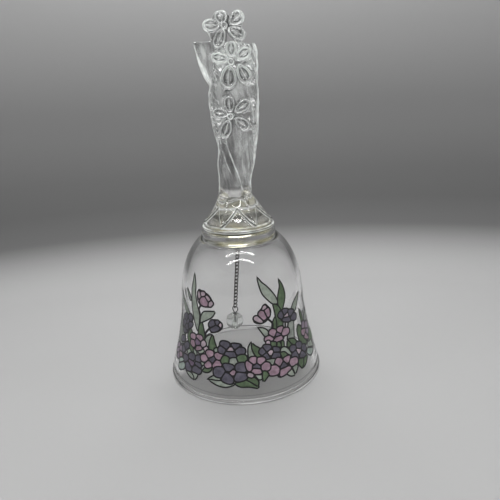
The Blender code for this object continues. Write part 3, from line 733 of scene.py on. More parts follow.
def dark_steel():
    """Wire darkened with age: brighter where it has rubbed, duller in between."""
    made, output = new_material("chain_steel")
    wear = noise(made, 1100, 4)
    stops = ((0.35, (26, 25, 24)), (0.55, (46, 44, 42)), (0.74, (108, 105, 100)))
    colour = ramp(made, wear, [(share, linear(rgb)) for share, rgb in stops])
    gloss = between(made, noise(made, 700, 3), 0.22, 0.5)
    shader = principled(made, {"Metallic": 1.0}, colour, gloss, bump(made, wear, 0.3, 0.03 * MM))
    join(made, shader, output.inputs["Surface"])
    return made


def enamel(name, rgb):
    """Fired enamel: colour that pools unevenly, slightly translucent, with a satin gloss."""
    made, output = new_material(f"enamel_{name}")
    light = tuple(min(255, value * 1.1 + 6) for value in rgb)
    deep = tuple(value * 0.86 for value in rgb)
    stops = ((0.32, linear(deep)), (0.5, linear(rgb)), (0.7, linear(light)))
    colour = ramp(made, noise(made, 420, 4), stops)
    gloss = between(made, noise(made, 800, 2), 0.28, 0.5)
    normal = bump(made, noise(made, 1500, 2), 0.25, 0.03 * MM)
    shader = principled(made, {"Specular IOR Level": 0.5}, colour, gloss, normal)
    if name != "black":
        glow = add_node(made, "ShaderNodeBsdfTranslucent")
        join(made, colour, glow.inputs["Color"])
        shader = mixed(made, shader, glow.outputs["BSDF"], 0.3)
    join(made, shader, output.inputs["Surface"])
    return made


def dress(thing, finish, body, slot, *nodes):
    """Gives a piece its material and the body it rides on, and hides the CAD nodes it stands for; its slot is
    not used.
    """
    thing.data.materials.clear()
    thing.data.materials.append(finish)
    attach(thing, body)
    if nodes:
        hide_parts(*nodes)
    return thing


# Enamel


class Shell:
    """The bell's outer side as a surface that enamel lies on."""

    def __init__(self):
        outside = bell_outside(60)[::-1]
        self.heights = np.array([height for _, height in outside])
        self.radii = np.array([radius for radius, _ in outside])

    def radius(self, height):
        return float(np.interp(height, self.heights, self.radii))

    def point(self, azimuth, height, lift):
        """The point at an azimuth in degrees and a height, lifted along the surface's normal."""
        step = 0.2 * MM
        slope = (self.radius(height + step) - self.radius(height - step)) / (2 * step)
        size = math.hypot(1, slope)
        radius = self.radius(height) + lift / size
        angle = math.radians(azimuth)
        height -= lift * slope / size
        return (radius * math.sin(angle), -radius * math.cos(angle), height)


def cell_reach(cell, across, up, grow):
    """How far a cell reaches from its middle in a direction, in millimetres."""
    turn = math.radians(cell[5])
    x = (across * math.cos(turn) + up * math.sin(turn)) / (cell[3] + grow)
    y = (up * math.cos(turn) - across * math.sin(turn)) / (cell[4] + grow)
    return (abs(x) ** 2.6 + abs(y) ** 2.6) ** (-1 / 2.6)


def cell_outline(shell, cell, grow, others=(), count=28):
    """The outline of one cell in the flat pattern, grown by a border and cut back from its neighbours."""
    azimuth, height = cell[1], cell[2]
    per_degree = shell.radius(height * MM) / MM * math.pi / 180
    cuts = []
    for other in others:
        run = Vector(((other[1] - azimuth) * per_degree, other[2] - height))
        if other is cell or run.length < 1e-6:
            continue
        unit = run.normalized()
        near = cell_reach(cell, unit.x, unit.y, 0)
        far = cell_reach(other, unit.x, unit.y, 0)
        cuts.append((unit, run.length * near / (near + far) - HALF_LINE))
    found = []
    for n in range(count):
        angle = math.tau * n / count + math.radians(cell[5])
        unit = Vector((math.cos(angle), math.sin(angle)))
        reach = cell_reach(cell, unit.x, unit.y, grow)
        for normal, limit in cuts:
            lean = normal.dot(unit)
            if lean > 0 and reach * lean > limit:
                reach = max(0.3, limit / lean)
        found.append(((azimuth + unit.x * reach / per_degree) * DEGREE, height + unit.y * reach))
    return found


def counter_clockwise(points):
    """The outline in counter-clockwise order."""
    area = sum(a[0] * b[1] - b[0] * a[1] for a, b in zip(points, points[1:] + points[:1]))
    return points if area > 0 else points[::-1]


def leaf_outline(points):
    """A leaf's outline made smooth, apart from its pointed ends, in the flat pattern."""
    flat = counter_clockwise([(azimuth * DEGREE, height) for azimuth, height in points])
    count = len(flat)
    corner = []
    for n in range(count):
        before = Vector(flat[n]) - Vector(flat[n - 1])
        after = Vector(flat[(n + 1) % count]) - Vector(flat[n])
        corner.append(before.length < 1e-6 or after.length < 1e-6 or before.angle(after) > 1.15)
    found = []
    for n in range(count):
        m = (n + 1) % count
        start, end = Vector(flat[n]), Vector(flat[m])
        first = start if corner[n] else Vector(flat[n - 1])
        last = end if corner[m] else Vector(flat[(m + 1) % count])
        for step in range(4):
            found.append(tuple(curve_through(*four, step / 4) for four in zip(first, start, end, last)))
    return found


def grown(outline, border):
    """An outline moved outwards by a border in millimetres."""
    count = len(outline)
    found = []
    for n in range(count):
        before = (Vector(outline[n]) - Vector(outline[n - 1])).normalized()
        after = (Vector(outline[(n + 1) % count]) - Vector(outline[n])).normalized()
        sides = [Vector((run.y, -run.x)) for run in (before, after)]
        turn = before.cross(after)
        if turn > 0.7:
            found += [tuple(Vector(outline[n]) + border * side) for side in sides]
            continue
        middle = (sides[0] + sides[1]).normalized()
        reach = border / max(0.6, middle.dot(sides[0]))
        found.append(tuple(Vector(outline[n]) + reach * middle))
    return found


def ribbon(points, width):
    """The outline of a line of the given width, drawn out at its ends."""
    half = width / 2
    sides = [[], []]
    for n, point in enumerate(points):
        run = Vector(points[min(n + 1, len(points) - 1)]) - Vector(points[max(n - 1, 0)])
        normal = Vector((-run.y, run.x)).normalized() * half
        sides[0].append(tuple(Vector(point) - normal))
        sides[1].append(tuple(Vector(point) + normal))
    return sides[0] + sides[1][::-1]


def winding(points, outline):
    """How often an outline runs round each point, as an array."""
    total = np.zeros(len(points), dtype=int)
    x, y = points[:, 0], points[:, 1]
    for (ax, ay), (bx, by) in zip(outline, outline[1:] + outline[:1]):
        left = (bx - ax) * (y - ay) - (x - ax) * (by - ay)
        total += ((ay <= y) & (by > y) & (left > 0)).astype(int)
        total -= ((ay > y) & (by <= y) & (left < 0)).astype(int)
    return total


def pattern_shapes(shell):
    """Every patch of enamel as (colour, outline), from the bottom layer to the top."""
    found = []
    for row in PATTERN:
        kind = row[0]
        if kind == "cells":
            cells = row[1:]
            for cell in cells:
                found.append(("black", cell_outline(shell, cell, CELL_GROW + OUTLINE)))
            for cell in cells:
                found.append((cell[0], cell_outline(shell, cell, CELL_GROW, cells)))
        elif kind == "leaf":
            outline = leaf_outline(row[2:])
            found.append(("black", grown(outline, LEAF_OUTLINE)))
            found.append((row[1], outline))
        else:
            line = smooth_line([(a * DEGREE, h) for a, h in row[2:]], False, 3)
            found.append(("black", ribbon(line, row[1] + 0.35)))
    return found


def enamel_faces(shapes, cell=1.3):
    """Cuts the overlapping patches into triangles, each with the colour of its topmost patch."""
    points = []
    faces = []
    for _, outline in shapes:
        start = len(points)
        points += [Vector(point) for point in outline]
        faces.append(list(range(start, len(points))))
    low = [min(p[k] for p in points) for k in (0, 1)]
    high = [max(p[k] for p in points) for k in (0, 1)]
    for i in range(int((high[0] - low[0]) / cell) + 2):
        for j in range(int((high[1] - low[1]) / cell) + 2):
            shift = 0.5 * cell * (j % 2)
            points.append(Vector((low[0] + i * cell + shift, low[1] + (j - 0.5) * cell)))
    edges = []
    for face in faces:
        edges += list(zip(face, face[1:] + face[:1]))
    verts, _, triangles, _, _, _ = delaunay_2d_cdt(points, edges, [], 0, 1e-3, False)
    flat = np.array([tuple(vert) for vert in verts])
    middles = flat[np.array(triangles)].mean(axis=1)
    top = np.full(len(triangles), -1)
    for n, (_, outline) in enumerate(shapes):
        corners = np.array(outline)
        near = np.all((middles > corners.min(axis=0)) & (middles < corners.max(axis=0)), axis=1)
        near = np.flatnonzero(near)
        top[near[winding(middles[near], outline) != 0]] = n
    found = {}
    for triangle, n in zip(triangles, top):
        if n >= 0:
            found.setdefault(shapes[n][0], []).append(triangle)
    return verts, found


def enamel_piece(shell, verts, triangles, colour):
    """One colour of the pattern as a thin solid on the glass."""
    lift = OUTLINE_FACE if colour == "black" else ENAMEL_FACE
    used = sorted({n for triangle in triangles for n in triangle})
    slot = {n: k for k, n in enumerate(used)}
    count = len(used)
    points = []
    for height in (lift, ENAMEL_ROOT):
        for n in used:
            across, up = verts[n]
            points.append(shell.point(across / DEGREE, up * MM, height))
    sides = {}
    faces = []
    for triangle in triangles:
        a, b, c = (slot[n] for n in triangle)
        faces += [(a, b, c), (c + count, b + count, a + count)]
        for start, end in ((a, b), (b, c), (c, a)):
            if (end, start) in sides:
                del sides[(end, start)]
            else:
                sides[(start, end)] = True
    for start, end in sides:
        faces.append((end, start, start + count, end + count))
    mesh = bpy.data.meshes.new(f"enamel_{colour}")
    mesh.from_pydata(points, [], faces)
    mesh.validate()
    for face in mesh.polygons:
        face.use_smooth = True
    mesh.set_sharp_from_angle(angle=math.radians(50))
    return placed(f"enamel_{colour}", mesh)


def add_enamel():
    """The enamel pattern on the bell, one piece to each colour."""
    shell = Shell()
    verts, found = enamel_faces(pattern_shapes(shell))
    for colour, triangles in sorted(found.items()):
        piece = enamel_piece(shell, verts, triangles, colour)
        dress(piece, enamel(colour, ENAMEL[colour]), "bell", "clear_glass")


# Handle


def blend_step(value, low, high):
    """A smooth step from 0 to 1 between two values."""
    share = np.clip((value - low) / (high - low), 0, 1)
    return share * share * (3 - 2 * share)


def grid_solid(name, rings, matrix):
    """A closed mesh through rings of equal length, with flat ends."""
    count = len(rings[0])
    points = [point for ring in rings for point in ring]
    faces = []
    for row in range(len(rings) - 1):
        for n in range(count):
            m = (n + 1) % count
            low, high = row * count, (row + 1) * count
            faces.append((low + n, low + m, high + m, high + n))
    faces.append(tuple(range(count)))
    last = (len(rings) - 1) * count
    faces.append(tuple(range(last, last + count)))
    return object_of(name, points, faces, matrix)


def trunk_rows():
    """The sections of the handle's trunk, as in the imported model."""
    neck = NECK_WIDTH / 2
    half = TRUNK_WIDTH / 2
    depth = TRUNK_DEPTH
    flare = ((0.023, 8.1, 8.1, 16.2, 0), (0.07, 5.0, 5.0, 10.0, 0.02), (0.14, 1.8, 1.4, 2.0, 0.05))
    stalk = ((0.23, 0.9, -0.9, -1.0, 0.08), (0.36, 1.5, 1.5, 1.0, 0.14), (0.46, 0.4, 2.6, 0, 0.14))
    upper = ((0.57, -1.2, 0.9, 0, 0.12), (0.75, -0.6, 1.8, 0, 0.1), (0.9, -3, 0.8, -3, 0.08))
    tip = ((1.0, -5.0, -3.5, -8.0, 0.05),)
    rows = []
    for share, left, right, deeper, lobe in flare + stalk:
        sides = (-neck - left * MM, neck + right * MM, 2 * neck + deeper * MM)
        rows.append((share * TRUNK_TOP, *sides, lobe))
    for share, left, right, deeper, lobe in upper + tip:
        sides = (-half - left * MM, half + right * MM, depth + deeper * MM)
        rows.append((share * TRUNK_TOP, *sides, lobe))
    return rows


def window(value, rise, full, fade, end):
    """1 between two steps: it rises over the first pair of values and fades over the second."""
    return blend_step(value, rise, full) * (1 - blend_step(value, fade, end))


def ridge(value, middle, width):
    """1 where a value is at the middle, falling away smoothly to both sides."""
    return np.exp(-(((value - middle) / width) ** 2))


def wrap_share(degrees, up):
    """How far round one of the neck's wrapped leaves a point lies, from 0 to 1."""
    return (WRAP_LEAVES * (degrees + 90 + WRAP_TURN * (up - 30)) / 360) % 1.0


def blade_reach(up, degrees):
    """How far inside the edge of the nearest blade of the foot's star a point lies, in degrees."""
    return 30 * (up - 2.2) / 7.8 - abs((degrees + 30) % 60 - 30)


def trunk(matrix, points=144, rows=200):
    """The foot with its star of blades, the wrapped neck and the trunk behind the flowers."""
    foot = FOOT_RADIUS
    edge = [
        (0, -foot + FOOT_CHAMFER, foot - FOOT_CHAMFER, 2 * (foot - FOOT_CHAMFER), 0),
        (FOOT_CHAMFER, -foot, foot, 2 * foot, 0),
        (FOOT_EDGE, -foot, foot, 2 * foot, 0),
    ]
    rings = []
    for height, left, right, depth, lobe in edge + smooth_rows(trunk_rows(), rows):
        up = height / MM
        proud = 0.09 * float(window(up, 1.6, 2.6, 10, 19))
        wrap = 0.14 * float(blend_step(up, 12, 20)) * float(1 - 0.5 * blend_step(up, 40, 50))
        ring = []
        for n in range(points):
            angle = math.tau * n / points
            degrees = math.degrees(angle)
            off = abs((degrees + 30) % 60 - 30)
            blade = float(blend_step(blade_reach(up, degrees), -1.2, 1.2))
            blade *= 1 + 0.5 * math.exp(-((off / 2.0) ** 2))
            lap = wrap_share(degrees, up)
            step = lap ** 0.8 if lap < 0.93 else (1 - lap) / 0.07
            swell = 1 + proud * blade - wrap * (1 - step)
            across = (left + right) / 2 + (right - left) / 2 * swell * math.cos(angle)
            ring.append((across, depth / 2 * swell * math.sin(angle), height))
        rings.append(ring)
    return grid_solid("trunk", rings, matrix)


def leaf_solid(name, rows, matrix, cup, points=40):
    """One broad leaf: a cupped blade with a thick rim and a sharp midrib."""
    rings = []
    rows = [[value * MM for value in row] for row in rows]
    for height, left, right, thickness, shift in smooth_rows(rows, 40):
        ring = []
        for n in range(points):
            angle = math.tau * n / points
            share = math.cos(angle)
            across = (left + right) / 2 + (right - left) / 2 * share
            rim = 0.55 + 0.45 * share * share
            front = thickness / 2 * rim * math.sin(angle)
            ring.append((across, front + shift + cup * share * share, height))
        rings.append(ring)
    return grid_solid(name, rings, matrix)


def side_leaves(matrix):
    """The two broad leaves beside the top flower, with their tips curled forwards.

    Each row, in millimetres: height, left side, right side, thickness and shift.
    """
    left = (
        (59, -8.2, -1, 6.5, 0),
        (63.5, -9.3, -1, 7.5, 0),
        (66.5, -11.2, -1.5, 7.6, 0),
        (70, -12.4, -2.2, 7.0, 0),
        (74, -13.5, -2.4, 6.0, 0),
        (78, -14.3, -2.2, 4.6, -0.4),
        (81, -14.6, -2.6, 2.6, -0.8),
    )
    right = (
        (48, 1, 10.2, 6.5, 0),
        (58, 1, 11.8, 8.2, 0),
        (66, 2, 12.2, 7.8, 0),
        (73, 3, 12.5, 6.5, 0),
        (77, 4.6, 12.2, 5.0, -0.3),
        (79.5, 6.5, 11.3, 3.0, -0.6),
    )
    strap = (
        (16, 4.4, 7.2, 2.0, 0),
        (22, 4.2, 7.2, 7.0, 0),
        (30, 4.8, 9.2, 9.0, 0),
        (42, 6.0, 11.2, 10.0, 0),
        (54, 7.6, 12.2, 9.5, 0),
        (60, 9.6, 12.3, 7.0, 0),
        (62.5, 11.0, 12.1, 3.0, 0),
    )
    return [
        leaf_solid("left_leaf", left, matrix, -0.9 * MM),
        leaf_solid("right_leaf", right, matrix, -0.9 * MM),
        leaf_solid("strap_leaf", strap, matrix, 0),
    ]


def petal_depth(share, across, along):
    """The relief of a petal, from 0 at its root to 1 at its crest: a raised rim round a ribbed dish."""
    rim = math.exp(-(((share - 0.8) / 0.13) ** 2))
    rib = 0.42 * math.exp(-((across / 0.16) ** 2)) * float(1 - blend_step(share, 0.45, 0.75))
    fall = float(1 - blend_step(share, 0.88, 1.0))
    return (0.3 + 0.7 * rim + rib + 0.08 * along) * fall


def petal_solid(centre, petal, root, base, crest, matrix, points=48, rings=18):
    """One petal in relief on the plane y = base, wider at its outer end."""
    x, z, long, short, direction = petal
    turn = math.radians(direction)
    rows = []
    for step in range(rings, -1, -1):
        share = max(step, 0.4) / rings
        ring = []
        for n in range(points):
            angle = math.tau * n / points
            along = share * math.cos(angle)
            across = share * math.sin(angle) * (1 + 0.2 * math.cos(angle))
            depth = base + (crest - base) * min(1.0, petal_depth(share, across, along))
            ring.append(
                (
                    (centre[0] + x + long * along * math.cos(turn) - short * across * math.sin(turn)) * MM,
                    depth,
                    (centre[1] + z + long * along * math.sin(turn) + short * across * math.cos(turn)) * MM,
                )
            )
        rows.append(ring)
    rows.insert(0, [(a, root, c) for a, _, c in rows[0]])
    return grid_solid("petal", rows, matrix)


def button_solid(centre, radius, root, crest, matrix):
    """The round button in the middle of a flower, with a dimple in it."""
    rows = []
    for step in range(14, -1, -1):
        share = max(step, 0.4) / 14
        dimple = 1 - 0.25 * math.exp(-9 * share**2)
        depth = crest - (crest - root) * (1 - math.sqrt(max(0.0, 1 - share**2)) * dimple)
        ring = []
        for n in range(24):
            angle = math.tau * n / 24
            across = centre[0] + radius * share * math.cos(angle)
            ring.append((across * MM, depth, (centre[1] + radius * share * math.sin(angle)) * MM))
        rows.append(ring)
    return grid_solid("button", rows, matrix)


def web_solid(matrix, half=1.7, points=96):
    """The web of glass that joins the top flower's petals, with a rounded edge."""
    across, up = TOP_FLOWER[0]
    corners = []
    for degrees, reach in TOP_WEB:
        angle = math.radians(degrees)
        corners.append((reach * math.cos(angle), reach * math.sin(angle)))
    outline = smooth_line(corners, True, 7)
    rows = []
    for step in range(13):
        angle = math.pi * (step / 12 - 0.5)
        share = 0.9 + 0.1 * math.cos(angle) if 0 < step < 12 else 0.84
        depth = half * math.sin(angle)
        rows.append([((across + a * share) * MM, depth * MM, (up + c * share) * MM) for a, c in outline])
    return grid_solid("web", rows, matrix)


def flowers(matrix):
    """The flowers on both faces and the one that stands free at the top."""
    face = TRUNK_DEPTH / 2 - 1.2 * MM
    crest = TRUNK_DEPTH / 2 + FLOWER_RELIEF
    made = []
    for side in (-1, 1):
        for centre, petals in FLOWERS:
            for petal in petals:
                made.append(petal_solid(centre, petal, side * 3 * MM, side * face, side * crest, matrix))
            made.append(button_solid(centre, 1.5, side * 3 * MM, side * (crest - 0.4 * MM), matrix))
        for petal in TOP_FLOWER[1]:
            front = side * TOP_FLOWER_HALF
            made.append(petal_solid(TOP_FLOWER[0], petal, -side * 0.5 * MM, side * 1.0 * MM, front, matrix))
        made.append(button_solid(TOP_FLOWER[0], 1.4, 0.0, side * (TOP_FLOWER_HALF - 0.3 * MM), matrix))
    made.append(web_solid(matrix))
    return made


def fuse(name, shapes, voxel):
    """One mesh object out of overlapping closed shapes, by a voxel remesh and a light smoothing."""
    made = bmesh.new()
    for shape in shapes:
        made.from_mesh(shape.data)
    mesh = bpy.data.meshes.new(name)
    made.to_mesh(mesh)
    made.free()
    for shape in shapes:
        bpy.data.objects.remove(shape)
    holder = placed(name, mesh)
    cast = holder.modifiers.new("cast", "REMESH")
    cast.mode = "VOXEL"
    cast.voxel_size = voxel
    polish = holder.modifiers.new("polish", "SMOOTH")
    polish.factor = 0.5
    polish.iterations = 3
    cast_mesh = settled(holder)
    cast_mesh.name = name
    for face in cast_mesh.polygons:
        face.use_smooth = True
    return placed(name, cast_mesh)


def petal_marks(x, z, flower):
    """How far each point of a flower's face lies on a rim with a painted highlight, in a hollow with painted
    shade, and on the flower.
    """
    rim = np.zeros(len(x))
    painted_shade = np.zeros(len(x))
    inside = np.zeros(len(x))
    centre, petals = flower
    for across, up, long, short, direction in petals:
        turn = math.radians(direction)
        dx = x - centre[0] - across
        dz = z - centre[1] - up
        along = (dx * math.cos(turn) + dz * math.sin(turn)) / long
        side = (dz * math.cos(turn) - dx * math.sin(turn)) / short
        side = side / (1 + 0.2 * along / (np.hypot(along, side) + 1e-9))
        far = np.hypot(along, side)
        rib = 0.7 * ridge(side, 0, 0.09) * (1 - blend_step(far, 0.5, 0.75))
        rim = np.maximum.reduce([rim, ridge(far, 0.88, 0.055), rib])
        deep = ridge(far, 0.56, 0.19) * (1 - rib)
        painted_shade = np.maximum.reduce([painted_shade, deep, 0.95 * ridge(far, 1.12, 0.1)])
        inside = np.maximum(inside, 1 - blend_step(far, 1.0, 1.2))
    near = np.hypot(x - centre[0], z - centre[1])
    rim = np.maximum(rim, ridge(near, 1.15, 0.25))
    painted_shade = np.maximum(painted_shade, ridge(near, 1.75, 0.3))
    return rim, painted_shade * (1 - rim), inside


def vectors_of(mesh, name):
    """A vector that each vertex of a mesh has, such as its place, as rows of three numbers."""
    flat = np.empty(len(mesh.vertices) * 3)
    mesh.vertices.foreach_get(name, flat)
    return flat.reshape(-1, 3)


def wrap_marks(z, degrees):
    """The painted highlights on the creases and the painted shade beside them on the wrapped neck."""
    lap = wrap_share(degrees, z)
    tall = window(z, 14, 20, 36, 42)
    crease = 0.75 * ridge(lap, 0.97, 0.03) * tall
    second = 0.6 * ridge((lap + 0.2) % 1.0, 0.97, 0.025) * window(z, 22, 28, 34, 38)
    return np.maximum(crease, second), 0.7 * ridge(lap, 0.87, 0.05) * tall


def foot_marks(z, degrees):
    """The painted highlights on the borders of the foot's blades and on its rings, and the painted shade in
    the cores of the blades.
    """
    inwards = blade_reach(z, degrees)
    low = window(z, 1.9, 2.6, 10.5, 13)
    border = ridge(inwards, -1.6, 1.2) + ridge(inwards, 5.2, 1.3)
    found = [0.9 * border * low, 0.26 * blend_step(inwards, 3, 14) * low]
    broken = 0.78 + 0.22 * np.sin(np.radians(5 * degrees) + 2.2 * z)
    for height, width in ((0.4, 0.3), (1.3, 0.25), (2.25, 0.4)):
        found.append(ridge(z, height, width) * broken)
    return np.maximum.reduce(found), ridge(inwards, 1.6, 2.0) * low


def web_marks(x, z, inside):
    """The painted highlight on the edge and the painted shade in the channel of the web between the top
    flower's petals.
    """
    web = np.array(TOP_WEB)
    centre = TOP_FLOWER[0]
    turn = np.degrees(np.arctan2(z - centre[1], x - centre[0])) % 360
    share = np.hypot(x - centre[0], z - centre[1]) / np.interp(turn, web[:, 0], web[:, 1], period=360)
    around = blend_step(z, 79.5, 82)
    channel = 0.7 * ridge(share, 0.8, 0.05) * around * (1 - inside)
    return 0.7 * blend_step(share, 0.9, 0.96) * around, channel


def side_marks(x, z, normals):
    """Painted highlights along the left and right edges of the handle, and along the edges of its leaves."""
    slice_of = np.clip((z * 2).astype(int), 0, 199)
    left, right = np.full(200, 99.0), np.full(200, -99.0)
    np.minimum.at(left, slice_of, x)
    np.maximum.at(right, slice_of, x)
    wide = 0.6 + 1.9 * window(z, 61, 66, 67, 78)
    broad = 0.9 + 0.7 * window(z, 28, 34, 54, 60)
    sides = ridge(x, left[slice_of], wide) + ridge(x, right[slice_of], broad)
    edge = ridge(normals[:, 0] ** 2 + normals[:, 2] ** 2, 1, 0.12)
    return np.maximum(0.9 * sides * window(z, 14, 22, 79, 80.5), 0.7 * edge * window(z, 63, 66, 80.4, 81.2))


def press_details(mesh):
    """Presses the pocket and the fine veins into the handle, and marks what is clear, where highlights are
    painted and where shade is painted.
    """
    place = vectors_of(mesh, "co")
    normals = vectors_of(mesh, "normal")
    x, y = place[:, 0] / MM, place[:, 1] / MM
    z = (place[:, 2] - HANDLE_BASE) / MM
    degrees = np.degrees(np.arctan2(y, x))
    facing = blend_step(np.abs(normals[:, 1]), 0.05, 0.35)
    front = blend_step(np.abs(y), 5.0, 7.0) * facing
    clear = [1 - blend_step(z, 11, 22), blend_step(z, 79, 82)]
    painted_highlights, painted_shades = [np.zeros(len(x))], [np.zeros(len(x))]
    for flower in FLOWERS:
        rim, painted_shade, inside = petal_marks(x, z, flower)
        painted_highlights.append(rim * front)
        painted_shades.append(painted_shade * front)
        clear.append(inside * front)
    rim, painted_shade, inside = petal_marks(x, z, TOP_FLOWER)
    painted_highlights.append(rim * facing)
    painted_shades.append(painted_shade * facing)
    for rim, painted_shade in (wrap_marks(z, degrees), foot_marks(z, degrees), web_marks(x, z, inside)):
        painted_highlights.append(rim)
        painted_shades.append(painted_shade)
    rim = np.maximum.reduce(painted_highlights + [side_marks(x, z, normals)])
    painted_shade = np.maximum.reduce(painted_shades)
    clear = np.maximum.reduce(clear)
    leafy = 1 - clear
    upper = blend_step(z, 44, 52)
    fans = 0.10 * np.sin(2.6 * (x * np.cos(0.5) + 0.45 * (z - 40))) * leafy * upper
    blades = 0.06 * np.sin(22 * np.radians(degrees) + 0.5 * z) * leafy * (1 - upper)
    place += normals * ((fans + blades) * MM)[:, None]
    pocket = 1 - blend_step(np.hypot((x + 5.6) / 3.4, (z - 74.6) / 2.4), 0.6, 1.0)
    place[:, 1] -= np.sign(y) * pocket * 2.2 * blend_step(np.abs(y), 0.5, 2) * MM
    mesh.vertices.foreach_set("co", place.reshape(-1))
    # The rim mark holds the painted highlights and the shade mark holds the painted shade; the handle's glass
    # shows both
    for name, values in (("clear", clear), ("rim", rim), ("painted_shade", painted_shade * (1 - rim))):
        marks = mesh.attributes.new(name, "FLOAT", "POINT")
        marks.data.foreach_set("value", values.astype(np.float32))
    mesh.update()


def add_handle():
    """The handle: pressed glass in one piece, with clear flowers and frosted leaves."""
    lift = Matrix.Translation((0, 0, HANDLE_BASE))
    shapes = [trunk(lift)] + side_leaves(lift) + flowers(lift)
    handle = fuse("flower_handle", shapes, 0.3 * MM)
    press_details(handle.data)
    dress(handle, pressed_glass(), "bell", "pressed_glass", "handle")


# Adhesive


def add_adhesive(glue):
    """The bond under the foot, wetted onto both glasses, and the dome round the hook."""
    low, high = CROWN_HEIGHT - WET, HANDLE_BASE + WET
    profile = [(0, high), (0.6 * BOND_RADIUS, high)]
    for n in range(9):
        angle = n / 8 * math.pi
        bulge = BOND_RADIUS - 0.3 * MM * math.sin(angle)
        profile.append((bulge, (low + high) / 2 + (high - low) / 2 * math.cos(angle)))
    profile += [(0.6 * BOND_RADIUS, low), (0, low)]
    bond = lathe("bond_layer", profile, 128)
    for vertex in bond.data.vertices:
        angle = math.atan2(vertex.co.y, vertex.co.x)
        if math.hypot(vertex.co.x, vertex.co.y) > 0.9 * BOND_RADIUS:
            uneven = 1 + 0.012 * math.sin(3 * angle + 1)
            uneven += 0.009 * math.sin(7 * angle) + 0.006 * math.sin(13 * angle)
            vertex.co.x *= uneven
            vertex.co.y *= uneven
    dress(bond, glue, "bell", "clear_adhesive", "bond_disc")
    bore = HOOK_WIRE / 2 + 0.05 * MM
    inner = bore + 0.5 * MM
    top = CROWN_UNDERSIDE + WET
    under = CROWN_UNDERSIDE - 0.3 * MM
    profile = [(bore, top), (ADHESIVE_RADIUS, top)]
    for n in range(1, 15):
        angle = n / 14 * math.pi / 2
        spread = (ADHESIVE_RADIUS - inner) * math.cos(angle)
        profile.append((inner + spread, under - ADHESIVE_DEPTH * math.sin(angle)))
    profile += [(bore, under - ADHESIVE_DEPTH), (bore, top)]
    dome = lathe("adhesive_dome", profile, 64, Matrix.Translation((HOOK_X, 0, 0)), 60)
    dress(dome, glue, "bell", "clear_adhesive", "hook_adhesive")


# Hook, chain and clapper


def add_hook(steel):
    """The eye pin under the crown."""
    clear = (HOOK_WIRE + HOOK_OPENING) / HOOK_EYE_RADIUS
    points = [(0, 0, SHANK_TOP - step * 0.35 * MM) for step in range(6)]
    for n in range(41):
        angle = (math.tau - clear) * n / 40
        height = EYE_CENTRE + HOOK_EYE_RADIUS * math.cos(angle)
        points.append((HOOK_EYE_RADIUS * math.sin(angle), 0, height))
    matrix = Matrix.Translation((HOOK_X, 0, 0)) @ Matrix.Rotation(HOOK_TURN, 4, "Z")
    hook = tube("eye_pin", points, HOOK_WIRE, False, matrix)
    dress(hook, steel, "bell", "dark_steel", "chain_hook")


def link_points(top):
    """The centreline of one twisted link, with the middle of its upper bend at the given height."""
    radius = (LINK_WIDTH - LINK_WIRE) / 2 + STOUT / 2
    straight = LINK_LENGTH - 2 * radius
    outline = []
    for side in (1, -1):
        middle = side * straight / 2
        for n in range(13):
            angle = math.pi * n / 12
            across = side * radius * math.cos(angle)
            outline.append((across, middle + side * radius * math.sin(angle)))
        for share in (0.6, 0.2, -0.2, -0.6):
            outline.append((-side * radius, share * middle))
    points = []
    for across, height in outline:
        turn = -LINK_TWIST * height / LINK_LENGTH
        level = top - LINK_LENGTH / 2 + height
        points.append((across * math.cos(turn), across * math.sin(turn), level))
    return points


def chain_line():
    """The line that the chain and the clapper hang along."""
    return Matrix.Translation(HOOK_POINT) @ Matrix.Rotation(CHAIN_LEAN, 4, "Y")


def add_links(steel):
    """The curb links, each on its own body."""
    matrix = chain_line() @ Matrix.Rotation(HOOK_TURN - LINK_TWIST / 2, 4, "Z")
    for n in range(LINK_COUNT):
        word = f"{n + 1:02d}"
        points = link_points(FIRST_LINK_TOP - n * LINK_PITCH)
        link = tube(f"curb_link_{word}", points, LINK_WIRE + STOUT / 2, True, matrix)
        dress(link, steel, f"link_{word}", "dark_steel", f"chain_link_{word}")


def bail_points():
    """The bail's wire: from one tail up round the lozenge shaped loop and back to the other tail."""
    tail = (BAIL_WIRE + BAIL_TAIL_GAP) / 2
    wide = (BAIL_WIDTH - BAIL_WIRE) / 2
    half = [
        (tail, -BAIL_HEIGHT - BAIL_TAIL),
        (tail, -BAIL_HEIGHT),
        (0.62 * wide, -0.72 * BAIL_HEIGHT),
        (0.95 * wide, -0.46 * BAIL_HEIGHT),
        (wide, -0.3 * BAIL_HEIGHT),
        (0.82 * wide, -0.12 * BAIL_HEIGHT),
        (0.45 * wide, -0.02 * BAIL_HEIGHT),
    ]
    right = [(across, 0, height) for across, height in half]
    left = [(-across, 0, height) for across, height in reversed(half)]
    return right + [(0, 0, 0)] + left


def bead_profile():
    """The bead's section: a ball with a straight bore whose ends are eased."""
    start = math.asin(BORE_RADIUS / BEAD_RADIUS)
    ease = 0.06
    end = 0.9 * BEAD_RADIUS * math.cos(start)
    profile = [(BORE_RADIUS, -end), (BORE_RADIUS, end)]
    for n in range(49):
        angle = start + ease + (math.pi - 2 * start - 2 * ease) * n / 48
        profile.append((BEAD_RADIUS * math.sin(angle), BEAD_RADIUS * math.cos(angle)))
    return profile + [profile[0]]


def add_clapper(steel):
    """The bail and the bored bead."""
    turn = Matrix.Rotation(HOOK_TURN - LINK_TWIST, 4, "Z")
    matrix = chain_line() @ Matrix.Translation((0, 0, BAIL_TOP)) @ turn
    bail = tube("bail_wire", smooth_line(bail_points(), False, 5), BAIL_WIRE, False, matrix)
    dress(bail, steel, "clapper", "dark_steel", "clapper_bail")
    bead = lathe("glass_bead", bead_profile(), 72, matrix @ Matrix.Translation((0, 0, -BEAD_DROP)))
    dress(bead, bead_glass(), "clapper", "bead_glass", "clapper_bead")


# Studio


